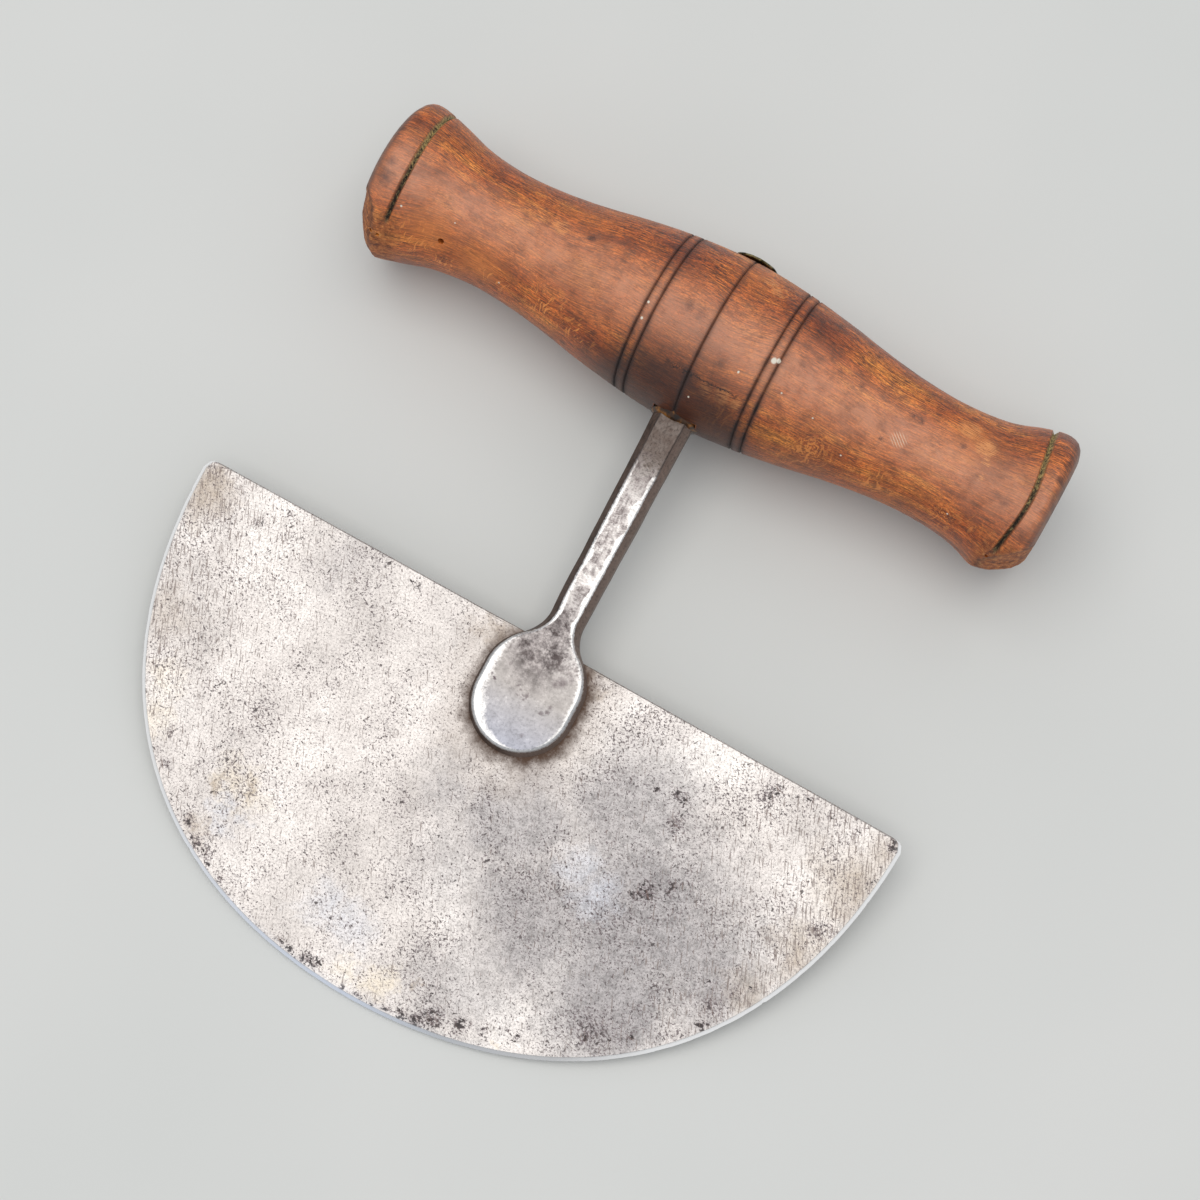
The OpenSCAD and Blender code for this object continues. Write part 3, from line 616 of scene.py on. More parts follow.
    # The flat ends show growth rings round a pith outside the handle, crossed by fine rays, in darker, thirstier wood
    pith = add(tree, "VectorMath", {0: where, 1: (0.0, 27.0, -19.0)}, operation="ADD")
    pith_over, pith_up = add(tree, "SeparateXYZ", {0: pith}).node.outputs[1:]
    years = add(tree, "TexWave", {
        "Vector": pith, "Scale": 0.13, "Distortion": 2.5, "Detail": 3.0,
    }, out="Fac", wave_type="RINGS", rings_direction="X")
    years = add(tree, "Math", {0: years, 1: 0.12, 2: -0.06}, operation="MULTIPLY_ADD")
    bearing = add(tree, "Math", {0: pith_over, 1: pith_up}, operation="ARCTAN2")
    bearing = add(tree, "Math", {0: bearing, 1: 33.0}, operation="MULTIPLY")
    outward = add(tree, "VectorMath", {0: pith, 1: (0.0, 1.0, 1.0)}, operation="MULTIPLY")
    outward = add(tree, "VectorMath", {0: outward}, out="Value", operation="LENGTH")
    rays = add(tree, "CombineXYZ", {0: bearing, 1: outward})
    rays = add(tree, "Mapping", {"Vector": rays, "Scale": (0.32, 6.0, 1)}, vector_type="TEXTURE")
    rays = add(tree, "TexNoise", {"Vector": rays, "Scale": 1.0, "Detail": 3.0, "Roughness": 0.6})
    rays = add(tree, "Math", {0: rays, 1: years}, operation="ADD")
    end_grain = add(tree, "ValToRGB", {0: rays}, stops=[(0.38, "#5b2e18"), (0.5, "#8d512d"), (0.62, "#ad6e40")])
    holes = add(tree, "TexNoise", {"Vector": where, "Scale": 1.7, "Detail": 2.0, "Roughness": 0.6})
    holes = add(tree, "ValToRGB", {0: holes}, stops=[(0.38, 0.55), (0.47, 0.95), (0.6, 1.1)])
    end_grain = lay_over(tree, end_grain, ((0.9, holes),), "MULTIPLY")
    flat_end = add(tree, "Math", {0: along}, operation="ABSOLUTE")
    flat_end = add(tree, "MapRange", {"Value": flat_end, "From Min": 83.2, "From Max": 83.9})

    # Rubbed and knocked places, dark spots, and grime where the hand doesn't wipe
    patchy = add(tree, "MapRange", {"Value": layers["fibres"], "From Min": 0.44, "From Max": 0.52})
    raw = add(tree, "Math", {0: spread(tree, ragged, RUBBED_RAW, 0.5), 1: patchy}, operation="MULTIPLY")
    spots = spread(tree, ragged, DARK_SPOTS, 0.0)
    rubbed = add(tree, "Attribute", out="Fac", attribute_name="rubbed")
    scuffs = add(tree, "TexNoise", {"Vector": where, "Scale": 0.6, "Detail": 5.0, "Roughness": 0.8})
    bared = add(tree, "ValToRGB", {0: scuffs}, stops=[
        (0.38, "#32180e"), (0.46, "#85451f"), (0.55, "#b26a35"), (0.66, "#d79a58"),
    ])
    threads = add(tree, "ValToRGB", {0: layers["fibres"]}, stops=[(0.32, 0.4), (0.5, 1.0)])
    bared = lay_over(tree, bared, ((0.7, threads),), "MULTIPLY")
    rubbed_share = add(tree, "Math", {0: rubbed, 1: 0.85}, operation="MULTIPLY")
    grime = add(tree, "Attribute", out="Fac", attribute_name="grime")
    blotches = add(tree, "Math", {0: mottle, 1: 1.6, 2: -1.0}, operation="MULTIPLY_ADD")
    grime = add(tree, "Math", {0: grime, 1: 1.5, 2: blotches}, operation="MULTIPLY_ADD", use_clamp=True)
    grime = add(tree, "Math", {0: grime, 1: 0.88}, operation="MULTIPLY")

    # A drying crack, and a small hatch of scratches
    crack_at = add(tree, "Mapping", {"Vector": ragged, "Location": (-0.35, 13.4, 0), "Scale": (0.1, 1, 1)})
    crack = add(tree, "VectorMath", {0: crack_at}, out="Value", operation="LENGTH")
    crack = add(tree, "MapRange", {"Value": crack, "From Min": 1.0, "From Max": 0.7})
    line = add(tree, "SeparateXYZ", {0: crack_at}, out=1)
    line = add(tree, "Math", {0: line}, operation="ABSOLUTE")
    line = add(tree, "MapRange", {"Value": line, "From Min": 0.22, "From Max": 0.08})
    crack = add(tree, "Math", {0: crack, 1: line}, operation="MULTIPLY")
    hatch_at = flat_and_bent(tree, unrolled, 1.5, 0.3)
    hatch = spread(tree, hatch_at, ((47.3, -6.2, 2.3, 1.0),), 0.55)
    comb = add(tree, "TexWave", {
        "Vector": hatch_at, "Scale": 0.72, "Distortion": 0.6,
    }, out="Fac", wave_type="BANDS", bands_direction="DIAGONAL")
    comb = add(tree, "MapRange", {"Value": comb, "From Min": 0.72, "From Max": 0.9})
    hatch = add(tree, "Math", {0: hatch, 1: comb}, operation="MULTIPLY")

    # The burnt lines, the old wax and dirt packed in the end grooves, and specks of paint
    burn = add(tree, "Attribute", out="Fac", attribute_name="burn")
    packed = add(tree, "Attribute", out="Fac", attribute_name="packed")
    crumbs = add(tree, "TexNoise", {"Vector": where, "Scale": 1.5, "Detail": 3.0, "Roughness": 0.7})
    above = add(tree, "MapRange", {
        "Value": turn, "From Min": -0.55, "From Max": 0.25, "To Min": -0.12, "To Max": 0.05,
    })
    crumbs = add(tree, "Math", {0: crumbs, 1: above}, operation="ADD")
    filling = add(tree, "ValToRGB", {0: crumbs}, stops=[(0.38, "#2a2118"), (0.5, "#6d6044"), (0.62, "#b9a46c")])
    specks = spread(tree, flat_and_bent(tree, unrolled, 2.0, 0.25), PALE_SPECKS, 0.6)
    shade = lay_over(tree, shade, (
        (flat_end, end_grain), (raw, "#dc9257"), (spots, "#3a2220"), (rubbed_share, bared), (grime, "#381d15"),
        (crack, "#2a1610"), (hatch, "#d8b79a"), (burn, "#241a1a"), (packed, filling), (specks, "#ded8c8"),
    ))

    rough = add(tree, "MapRange", {"Value": cloud, "From Min": 0.3, "From Max": 0.7, "To Min": 0.34, "To Max": 0.46})
    dry = add(tree, "Math", {0: burn, 1: packed}, operation="MAXIMUM")
    dry = add(tree, "Math", {0: dry, 1: rubbed}, operation="MAXIMUM")
    rough = add(tree, "Math", {0: dry, 1: 0.3, 2: rough}, operation="MULTIPLY_ADD")
    height = add(tree, "Math", {0: dash, 1: -0.5, 2: layers["fibres"]}, operation="MULTIPLY_ADD")
    bump = add(tree, "Bump", {"Height": height, "Strength": 0.35, "Distance": 0.0002})
    finish_material(tree, shader, Base_Color=shade, Roughness=rough, Normal=bump)
    shader.inputs["Specular IOR Level"].default_value = 0.6
    return material


# Hard amber resin: glossy, dark brown in random lumps with brown-gold among them
def make_resin():
    material, tree, shader = new_material("amber_cutlers_resin")
    lumps = add(tree, "TexNoise", {"Vector": in_mm(tree, AT_STEM), "Scale": 0.7, "Detail": 4.0})
    shade = add(tree, "ValToRGB", {0: lumps}, stops=[(0.36, "#1f1209"), (0.56, "#44290f"), (0.7, "#8c5a22")])
    bump = add(tree, "Bump", {"Height": lumps, "Strength": 0.5, "Distance": 0.0003})
    finish_material(tree, shader, Base_Color=shade, Normal=bump)
    shader.inputs["Roughness"].default_value = 0.3
    return material


# Tarnished brass: olive gold with dark hollows from the hammer
def make_tarnished_brass():
    material, tree, shader = new_material("tarnished_brass")
    spots = add(tree, "TexNoise", {"Vector": in_mm(tree, AT_STEM), "Scale": 0.9, "Detail": 4.0})
    shade = add(tree, "ValToRGB", {0: spots}, stops=[(0.36, "#2c2718"), (0.5, "#5f553a"), (0.66, "#9a8d66")])
    bump = add(tree, "Bump", {"Height": spots, "Strength": 0.4, "Distance": 0.0003})
    finish_material(tree, shader, Base_Color=shade, Normal=bump)
    shader.inputs["Metallic"].default_value = 1.0
    shader.inputs["Roughness"].default_value = 0.42
    return material


def blade_reach(angle):
    """Distance from the middle of the spine to the edge, at an angle below the spine, with blunted corners."""
    across, down = math.cos(angle), math.sin(angle)
    full = (
        BLADE_HALF_W + (BLADE_DEPTH - BLADE_HALF_W) * down + BLADE_SWELL * math.sin(2 * angle) ** 2
        - 2 * SWELL_SKEW * across * down ** 2
    )
    if full * down >= CORNER_R:
        return full
    corner = BLADE_HALF_W - CORNER_R
    along = corner * abs(across) + CORNER_R * down
    return along + math.sqrt(max(along ** 2 - corner ** 2, 0.0))


def make_blade(material):
    """A half-round plate, ground thin, with an eased spine and a bevel to the edge along the arc."""
    steps, eased = 540, (0.0, 0.12, 0.3, 0.7)
    first = math.radians(1.5)
    shares = [0.045 * i for i in range(22)] + [0.966, 0.976]
    bm = bmesh.new()
    honed = bm.verts.layers.float.new("honed")
    verts = [bm.verts.new((share, 0, 0)) for share in shares]
    for inset in (BEVEL_W, BEVEL_W * 0.85, BEVEL_W * 0.5, BEVEL_W * 0.2, 0.0):
        verts.append(bm.verts.new((1 - inset / BLADE_HALF_W, 0, 0)))
    edges = [bm.edges.new(pair) for pair in zip(verts, verts[1:])]
    bmesh.ops.spin(
        bm, geom=verts + edges, cent=(0, 0, 0), axis=(0, 0, -1), dvec=(0, 0, 0), angle=math.pi,
        steps=steps, use_merge=False, use_normal_flip=False, use_duplicate=False,
    )
    bmesh.ops.remove_doubles(bm, verts=bm.verts, dist=1e-6)
    drop_of = {}
    for vert in bm.verts:
        share = vert.co.xy.length
        step = round(math.atan2(abs(vert.co.y), vert.co.x) / math.pi * steps)
        from_end = min(step, steps - step)
        side = 1 if step < steps / 2 else -1
        if from_end < len(eased):
            down = eased[from_end]
            x = share * (BLADE_HALF_W - CORNER_R + math.sqrt(max(CORNER_R ** 2 - (CORNER_R - down) ** 2, 0.0)))
            crown = SPINE_CROWN * (1 - (x / BLADE_HALF_W) ** 2)
            place = Vector((side * x, crown - down * min(1.0, share * 6), 0))
            edge_gap = (1 - share) * BLADE_HALF_W
            spine_cut = (0.35, 0.16, 0.04, 0.0)[from_end] * min(1.0, share * 6)
        else:
            rows = steps - 2 * len(eased)
            angle = first + (math.pi - 2 * first) * (step - len(eased)) / rows
            reach = share * blade_reach(angle)
            place = Vector((reach * math.cos(angle), -reach * math.sin(angle), 0))
            place.y += SPINE_CROWN * (1 - share) * max(0.0, 1 - math.sin(angle) * 20)
            edge_gap = (1 - share) * blade_reach(angle)
            spine_cut = 0.0
        taper = min(1.0, edge_gap / BEVEL_W)
        half_t = EDGE_T / 2 + (BLADE_T - EDGE_T) / 2 * taper
        drop_of[vert] = (place, max(half_t - spine_cut, EDGE_T / 2), smoothstep(1.05, 0.8, edge_gap / BEVEL_W))
    lower = bmesh.ops.extrude_face_region(bm, geom=bm.faces[:])
    by_place = {(round(v.co.x, 6), round(v.co.y, 6)): drop_of[v] for v in drop_of}
    lower_verts = {item for item in lower["geom"] if isinstance(item, bmesh.types.BMVert)}
    for vert in bm.verts:
        place, half_t, bevel = by_place[(round(vert.co.x, 6), round(vert.co.y, 6))]
        vert[honed] = bevel
        vert.co = Vector((place.x * 0.9995, place.y * 0.9995, -half_t if vert in lower_verts else half_t))
    for vert in bm.verts:
        if vert[honed] > 0.5:
            nick = noise.noise(vert.co * 0.35) * 0.1 + max(0.0, noise.noise(vert.co * 0.9) - 0.45) * 0.8
            vert.co.xy *= 1 - max(nick, 0.0) / BLADE_HALF_W
    return finish_piece(bm, "blade_plate", AT_SPINE, material, ["blade"], crease=14)


def past_palm_middle(y):
    """How far a place lies past the straight part of the palm, toward either round end."""
    return y - min(max(y, PALM_LOW_Y), PALM_TOP_Y)


def stem_half_width(y):
    """Half the width of the forging in plan, from the foot of the palm to the handle."""
    foot, head = SHANK_FOOT[0] / 2, SHANK_HEAD[0] / 2
    up = y - PALM_TOP_Y
    rise = NECK_TOP_Y - PALM_TOP_Y
    touch = rise * PALM_R / (PALM_R + NECK_R)
    if up <= touch:
        return math.sqrt(max(PALM_R ** 2 - past_palm_middle(y) ** 2, 0.0))
    if y <= NECK_TOP_Y:
        return foot + NECK_R - math.sqrt(max(NECK_R ** 2 - (rise - up) ** 2, 0.0))
    return foot + (head - foot) * (y - NECK_TOP_Y) / (MORTISE_FLOOR_Y - NECK_TOP_Y)


def stem_half_depth(y):
    """Half the thickness of the forging along its middle."""
    foot, head = SHANK_FOOT[1] / 2, SHANK_HEAD[1] / 2
    low = -PALM_DROP + PALM_R * 0.5
    if y <= low:
        return PALM_HALF_T
    if y <= NECK_TOP_Y:
        return PALM_HALF_T + (foot - PALM_HALF_T) * (y - low) / (NECK_TOP_Y - low)
    return foot + (head - foot) * (y - NECK_TOP_Y) / (MORTISE_FLOOR_Y - NECK_TOP_Y)


def palm_cut(inside):
    """How much of the palm's height is missing at a distance inside its outline: sloping wall, round shoulder."""
    if inside < PALM_DRAFT:
        return PALM_BEVEL + (CHEEK_T - PALM_BEVEL) * (1 - inside / PALM_DRAFT)
    t = min(1.0, (inside - PALM_DRAFT) / PALM_BEVEL)
    return PALM_BEVEL * (1 - math.sqrt(max(0.0, 1 - (1 - t) ** 2)))


def make_stem(material):
    """One forging: round palm, hollow neck and chamfered shank, with the tang and its riveted end above."""
    rows, columns = 240, 44
    bm = bmesh.new()
    bmesh.ops.create_grid(bm, x_segments=columns, y_segments=rows, size=1.0)
    wear = bm.verts.layers.float.new("wear")
    arris_highlight = bm.verts.layers.float.new("arris_highlight")
    palm_rows = 0.45
    spots = {}
    start = -PALM_DROP - (PALM_R + PALM_LONG / 2) * math.cos(math.radians(130))
    for vert in bm.verts:
        across = math.sin(vert.co.x * math.pi / 2)
        share = (vert.co.y + 1) / 2
        if share < palm_rows:
            y = -PALM_DROP - (PALM_R + PALM_LONG / 2) * math.cos(math.radians(130) * share / palm_rows)
        else:
            y = start + (MORTISE_FLOOR_Y - start) * (share - palm_rows) / (1 - palm_rows)
        half_w = stem_half_width(y)
        x = across * half_w
        from_rim = PALM_R - math.hypot(x, past_palm_middle(y))
        inside = from_rim if y < PALM_TOP_Y else max(half_w - abs(x), from_rim)
        on_shank = smoothstep(-PALM_DROP + PALM_R * 0.75, NECK_TOP_Y, y)
        cut = palm_cut(max(inside, 0.0)) * (1 - on_shank) + max(0.0, SHANK_CHAMFER - inside) * on_shank
        face_from = (PALM_DRAFT + 0.1) * (1 - on_shank) + SHANK_CHAMFER * 0.92 * on_shank
        # The painted rim highlight: a bright band along the rims, wider and softer on the palm's side that faces the
        # light, and of varying width along the shank
        outward = Vector((x, past_palm_middle(y))).normalized()
        to_left = outward.dot(Vector((-0.885, -0.465)))
        highlight_band = 0.5 + (2.0 if to_left > 0 else 0.7) * to_left ** 2
        on_side = (1.0 if x > 0 else 0.8) + 1.1 * noise.noise(Vector((3.0 if x > 0 else 9.0, y * 0.22, 0.0)))
        highlight_band = highlight_band * (1 - on_shank) + on_side * on_shank
        feather = 0.25 + (1.9 if to_left > 0 else 0.7) * to_left ** 2 * (1 - on_shank)
        on_face = inside - face_from
        painted_rim_highlight = smoothstep(highlight_band + feather, highlight_band - feather, on_face) * smoothstep(-0.6, -0.1, on_face)
        face = smoothstep(face_from - 0.25, face_from + 0.15, inside)
        spots[vert] = (x, y, stem_half_depth(y) - cut, face, painted_rim_highlight)
    lower = bmesh.ops.extrude_face_region(bm, geom=bm.faces[:])
    lower_verts = {item for item in lower["geom"] if isinstance(item, bmesh.types.BMVert)}
    by_place = {(round(v.co.x, 5), round(v.co.y, 5)): spots[v] for v in spots}
    for vert in bm.verts:
        x, y, half_d, face, painted_rim_highlight = by_place[(round(vert.co.x, 5), round(vert.co.y, 5))]
        vert[wear] = face
        vert[arris_highlight] = painted_rim_highlight
        vert.co = Vector((x, y, -half_d if vert in lower_verts else half_d))
    bmesh.ops.remove_doubles(bm, verts=bm.verts, dist=1e-4)
    for vert in bm.verts:
        on_shank = smoothstep(-PALM_DROP + PALM_R * 0.5, NECK_TOP_Y, vert.co.y)
        lump = noise.noise(Vector((vert.co.x * 0.25, vert.co.y * 0.16, vert.co.z * 0.25)))
        vert.co.xz *= 1 - (0.012 + 0.03 * lump) * on_shank
    piece = finish_piece(bm, "forged_stem", AT_STEM, material, ["stem"], crease=50)
    slot = bmesh.new()
    reach = 3 * PALM_R
    add_box(slot, (-reach, -reach, -BLADE_T / 2), (reach, SPINE_CROWN, BLADE_T / 2))
    carve(piece, slot, AT_SPINE, crease=50)

    # The tang and the riveted end join the forging after the slot is cut, each set a little into what carries it
    bm = bmesh.new()
    bm.from_mesh(piece.data)
    forging = set(bm.verts)
    top = SEAT_Y - 3
    add_box(bm, (-TANG_W / 2, MORTISE_FLOOR_Y - 0.5, -TANG_W / 2), (TANG_W / 2, top, TANG_W / 2))
    rise = ROVE_TOP_Y - top
    dome = ((1.05, 0.35), (0.85, 0.65), (0.45, 0.86), (0, 0.93))
    spin_profile(bm, [(0, top - 0.5, 0), (PEEN_R, top - 0.5, 0), (PEEN_R, top + rise + 0.1, 0)] + [
        (PEEN_R * out, top + rise + PEEN_RISE * up, 0) for out, up in dome
    ], (0, 1, 0), 32)
    added = [vert for vert in bm.verts if vert not in forging]
    for vert in added:
        vert[bm.verts.layers.float["wear"]] = 0.8
        vert[bm.verts.layers.float["arris_highlight"]] = 0.6
    bmesh.ops.transform(bm, matrix=AT_STEM, verts=added)
    bmesh.ops.recalc_face_normals(bm, faces=[face for face in bm.faces if face.verts[0] not in forging])
    bm.to_mesh(piece.data)
    bm.free()
    soften(piece.data, 50)
    return piece


def make_palm_rivet(material):
    """The flush rivet through palm and blade, filed level on both faces."""
    bm = bmesh.new()
    wear = bm.verts.layers.float.new("wear")
    top = PALM_HALF_T + 0.01
    spin_profile(bm, [
        (0, 0, -top), (RIVET_HEAD[0] - 0.1, 0, -top), (RIVET_HEAD[0], 0, 0.1 - top),
        (RIVET_R, 0, RIVET_HEAD[1] - top), (RIVET_R, 0, top - RIVET_HEAD[1]),
        (RIVET_HEAD[0], 0, top - 0.1), (RIVET_HEAD[0] - 0.1, 0, top), (0, 0, top),
    ], (0, 0, 1), 64)
    for vert in bm.verts:
        vert[wear] = 1.0
        vert.co.y -= PALM_DROP
    return finish_piece(bm, "flush_rivet", AT_STEM, material, ["palm_rivet"])


# Outline of the right half of the handle, and of the left, which was turned longer and fuller
STATIONS = (
    (-14, BELLY_R - 0.9), (0, BELLY_R), (14, BELLY_R - 0.9), (26, BELLY_R - 2.6), (36, WAIST_R + 1.9),
    (46, WAIST_R + 0.5), (56, WAIST_R), (66, WAIST_R + 0.8), (74, WAIST_R + 2.95), (80, BEAD_R),
    (82.6, BEAD_R - 0.9), (84, BEAD_R - 4.1),
)
LEFT_STATIONS = tuple((x + LEFT_MORE[0] * ramp(76, 82, x), r + LEFT_MORE[1] * ramp(60, 72, x)) for x, r in STATIONS)


def handle_radius(x):
    """Radius of the turned handle at a distance from its middle."""
    stations = STATIONS if x > 0 else LEFT_STATIONS
    x = abs(x)
    for i in range(1, len(stations) - 1):
        (x0, r0), (x1, r1), (x2, r2) = stations[i - 1], stations[i], stations[i + 1]
        if x <= x2:
            t = (x - x1) / (x2 - x1)
            slope1 = (r2 - r0) / (x2 - x0) * (x2 - x1)
            if i + 2 < len(stations):
                slope2 = (stations[i + 2][1] - r1) / (stations[i + 2][0] - x1) * (x2 - x1)
            else:
                slope2 = (r2 - r1) * 1.8
            return (
                (2 * t ** 3 - 3 * t ** 2 + 1) * r1 + (t ** 3 - 2 * t ** 2 + t) * slope1
                + (3 * t ** 2 - 2 * t ** 3) * r2 + (t ** 3 - t ** 2) * slope2
            )
    return stations[-1][1]


def line_depth(x):
    return max(LINE_GROOVE[1] * ramp(LINE_GROOVE[0] / 2, 0, abs(x - line_x)) for line_x in LINE_XS)


def end_depth(x):
    side = 1 if x > 0 else -1
    return END_GROOVE[1] * ramp(END_GROOVE[0] / 2, 0, abs(abs(x) - END_GROOVE_X[side]))


def worn_to(place):
    """Radius that the worn lower corner leaves at a place on the handle."""
    side = 1 if place.x > 0 else -1
    radius = place.yz.length
    slope = math.radians(62.7)
    out = side * place.x - WORN_AT[0] - WORN_EASE[side] * math.cos(slope)
    kept = radius
    for swing in (-WORN_SWING, 0, WORN_SWING):
        turn = math.radians(WORN_TURN[side] + swing) - LIE_TILT
        share = (place.z * math.sin(turn) - place.y * math.cos(turn)) / max(radius, 1e-6)
        lift = radius * share - WORN_AT[1] - WORN_EASE[side] * math.sin(slope)
        beyond = out * math.cos(slope) + lift * math.sin(slope) > WORN_R - 2.95
        if share > 0 and beyond and math.hypot(out, lift) > WORN_R:
            lift = math.sqrt(max(WORN_R ** 2 - out ** 2, 0.0))
            kept = min(kept, (WORN_AT[1] + WORN_EASE[side] * math.sin(slope) + lift) / share)
    return kept


def groove_bow(x, turn):
    """How far the end grooves stray along the handle, by the angle round it from the top."""
    near = smoothstep(69, 75, abs(x)) * smoothstep(83.5, 79.5, abs(x))
    if x > 0:
        return near * (1.95 * math.exp(-((turn + 17) / 38) ** 2) - 1.0)
    return near * (0.65 * math.exp(-((turn + 15) / 40) ** 2) - 0.3)


def make_handle(material):
    """Turned beech with a belly, two waists, a bead at each end and scribed rings, drilled for the tang."""
    ends = {-1: LEFT_STATIONS[-1][0], 1: STATIONS[-1][0]}
    xs = {round(-ends[-1] + (ends[-1] + ends[1]) * i / 210, 4) for i in range(211)}
    for line_x in LINE_XS:
        xs.update(round(line_x + LINE_GROOVE[0] / 2 * k, 4) for k in (-2.6, -1.7, -1, -0.5, 0, 0.5, 1, 1.7, 2.6))
    for side in (-1, 1):
        for k in (-1.2, -1, -0.66, -0.33, 0, 0.33, 0.66, 1, 1.2):
            xs.add(round(side * END_GROOVE_X[side] + END_GROOVE[0] / 2 * k, 4))
        xs.update(round(side * (ends[side] - k), 4) for k in (0.15, 0.4, 0.7))
    profile = [(-ends[-1], r, 0) for r in (0, 3, 6, 9, 12)]
    profile += [(x, handle_radius(x), 0) for x in sorted(xs)]
    profile += [(ends[1], r, 0) for r in (12, 9, 6, 3, 0)]
    bm = bmesh.new()
    spin_profile(bm, profile, (1, 0, 0), 180)
    layers = {name: bm.verts.layers.float.new(name) for name in ("burn", "packed", "grime", "rubbed")}
    for vert in bm.verts:
        place = vert.co.copy()
        if place.yz.length < 1:
            continue
        turn = math.degrees(math.atan2(place.y, place.z))
        below = turn if turn < 60 else turn - 360
        line, end = line_depth(place.x), end_depth(place.x)
        if place.x < 0:
            end *= smoothstep(-60, -50, below) + smoothstep(-125, -140, below)
        else:
            end *= smoothstep(-69, -58, below) + smoothstep(-140, -150, below)
        rim = smoothstep(79.5, 84, abs(place.x))
        chip = 0.5 * rim * smoothstep(-43, -47, below) * smoothstep(-150, -120, below) * (place.x < 0)
        kept = worn_to(place)
        cut = place.yz.length - kept + chip
        uneven = 0.13 - noise.noise(place * 0.05) * 0.1 - noise.noise(place * 0.3) * 0.03
        gone = smoothstep(0.0, 0.3, cut)
        splinters = max(0.0, noise.noise(place * 0.55 + Vector((9, 0, 0))) - 0.25)
        rough = gone * (0.14 - 0.14 * noise.noise(place * 0.7) + 0.5 * splinters)
        if place.yz.length > 13:
            vert.co.yz *= (kept - chip - uneven - rough - line - end) / place.yz.length
        else:
            vert.co.yz *= min(place.yz.length, kept - (0.3 + rough) * gone) / place.yz.length
        vert.co.x += groove_bow(place.x, below)
        scorch = max(math.exp(-((place.x - line_x) / 0.75) ** 2) for line_x in LINE_XS)
        scorch *= 0.62 + 0.25 * smoothstep(-20, -50, below) + 0.3 * noise.noise(place * 0.35)
        ring = math.exp(-((place.x - 82.7) / 0.35) ** 2) * (0.75 + 0.5 * noise.noise(place * 0.4)) * (1 - gone)
        charred = line / LINE_GROOVE[1] * (0.85 + 0.2 * noise.noise(place * 0.9))
        vert[layers["burn"]] = min(1.0, max(charred, scorch, ring))
        vert[layers["packed"]] = min(1.0, end / END_GROOVE[1] * 1.7) * (1 - gone)
        mouth = math.hypot((place.x + 2) * 0.8, place.z) if place.y < 0 else 99.0
        brim = smoothstep(81.8, 83.2, abs(place.x)) * (1 - 0.6 * gone)
        brink = gone * smoothstep(1.6, 0.3, cut)
        vert[layers["grime"]] = max(smoothstep(24.0, 9.0, mouth), 0.55 * brim, 0.6 * brink)
        worn_side = smoothstep(72.5, 75.5, abs(place.x)) * smoothstep(-38, -62, below) * smoothstep(-150, -120, below)
        vert[layers["rubbed"]] = max(gone, worn_side * 0.8)
    lying = TO_TABLE @ Matrix.Rotation(-LIE_TILT, 4, "X")
    piece = finish_piece(bm, "turned_handle", lying, material, ["handle"])
    hole = bmesh.new()
    spin_profile(hole, [
        (0, MORTISE_FLOOR_Y - 0.01, 0), (BORE_R, MORTISE_FLOOR_Y - 0.01, 0), (BORE_R, SEAT_Y, 0), (ROVE_R, SEAT_Y, 0),
        (ROVE_R, BELLY_R + 2, 0), (0, BELLY_R + 2, 0),
    ], (0, 1, 0), 48)
    carve(piece, hole, AT_STEM)
    mouth = bmesh.new()
    half = [(SHANK_HEAD[0] + 1.2) / 2, (SHANK_HEAD[1] + 1.2) / 2]
    add_box(mouth, (-half[0], -BELLY_R - 2, -half[1]), (half[0], MORTISE_FLOOR_Y, half[1]))
    carve(piece, mouth, AT_STEM)
    for x, turn, radius in ((-64.2, -55.3, 0.75), (-79.7, -67.8, 0.5), (-77.9, -68.4, 0.45), (76.0, -70.5, 0.45)):
        worm = bmesh.new()
        bmesh.ops.create_cone(
            worm, cap_ends=True, segments=16, radius1=radius, radius2=radius * 0.9, depth=6.0,
            matrix=Matrix.Rotation(math.radians(-turn), 4, "X") @ Matrix.Translation((0, 0, handle_radius(x) - 0.5)),
        )
        carve(piece, worm, lying @ Matrix.Translation((x, 0, 0)))
    return piece


def make_bedding(material):
    """The sleeve of resin round the tang, ending in a small fillet at the mouth of the handle."""
    bm = bmesh.new()
    spin_profile(bm, [
        (TANG_W / 2 * 1.2, SEAT_Y - 0.2, 0), (BORE_R - 0.03, SEAT_Y - 0.2, 0), (BORE_R - 0.03, MORTISE_FLOOR_Y, 0),
        (6.2, MORTISE_FLOOR_Y, 0), (6.0, -BELLY_R + 0.3, 0), (5.2, -BELLY_R - 0.25, 0), (4.4, -BELLY_R - 0.5, 0),
        (3.4, -BELLY_R - 0.3, 0),
    ], (0, 1, 0), 48)
    for vert in bm.verts:
        if vert.co.y < MORTISE_FLOOR_Y:
            vert.co.z *= 0.82
            at = vert.co * 0.7
            vert.co += 0.25 * Vector([noise.noise(at + Vector((shift, 0, 0))) for shift in (0, 31, 67)])
    return finish_piece(bm, "resin_bedding", AT_STEM, material, ["tang_bedding"])


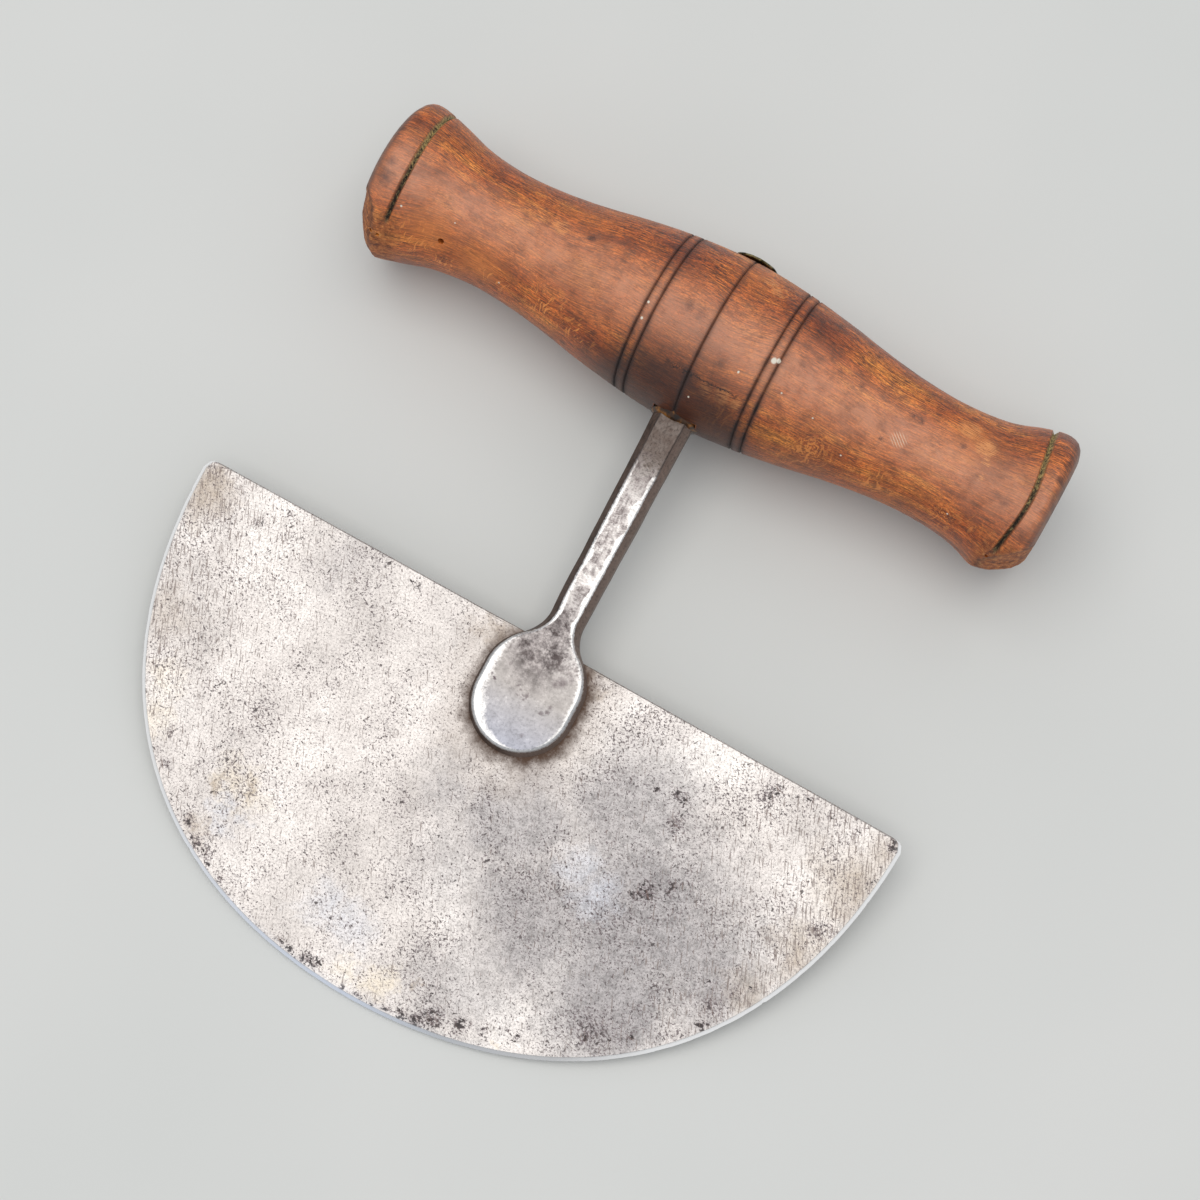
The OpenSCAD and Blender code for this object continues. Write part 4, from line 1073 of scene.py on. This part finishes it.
def make_rove(material):
    """Domed washer under the riveted end."""
    bm = bmesh.new()
    spin_profile(bm, [
        (PEEN_R, SEAT_Y, 0), (ROVE_R - 0.2, SEAT_Y, 0), (ROVE_R, SEAT_Y + 0.2, 0),
        (ROVE_R, SEAT_Y + ROVE_RIM_T - 0.15, 0), (ROVE_R - 0.3, SEAT_Y + ROVE_RIM_T + 0.08, 0),
        (ROVE_R * 0.8, SEAT_Y + ROVE_RIM_T + ROVE_DOME * 0.6, 0), (ROVE_R * 0.6, ROVE_TOP_Y - 0.06, 0),
        (PEEN_R, ROVE_TOP_Y, 0), (PEEN_R, SEAT_Y, 0),
    ], (0, 1, 0), 48)
    for vert in bm.verts:
        if vert.co.y > SEAT_Y + 0.3:
            vert.co.y -= 0.08 + 0.08 * noise.noise(vert.co * 0.9)
    return finish_piece(bm, "brass_rove", AT_STEM, material, ["rove"])


make_camera()
make_studio()
iron = make_forged_iron()
make_blade(make_ground_steel())
make_stem(iron)
make_palm_rivet(iron)
make_handle(make_turned_beech())
make_bedding(make_resin())
make_rove(make_tarnished_brass())
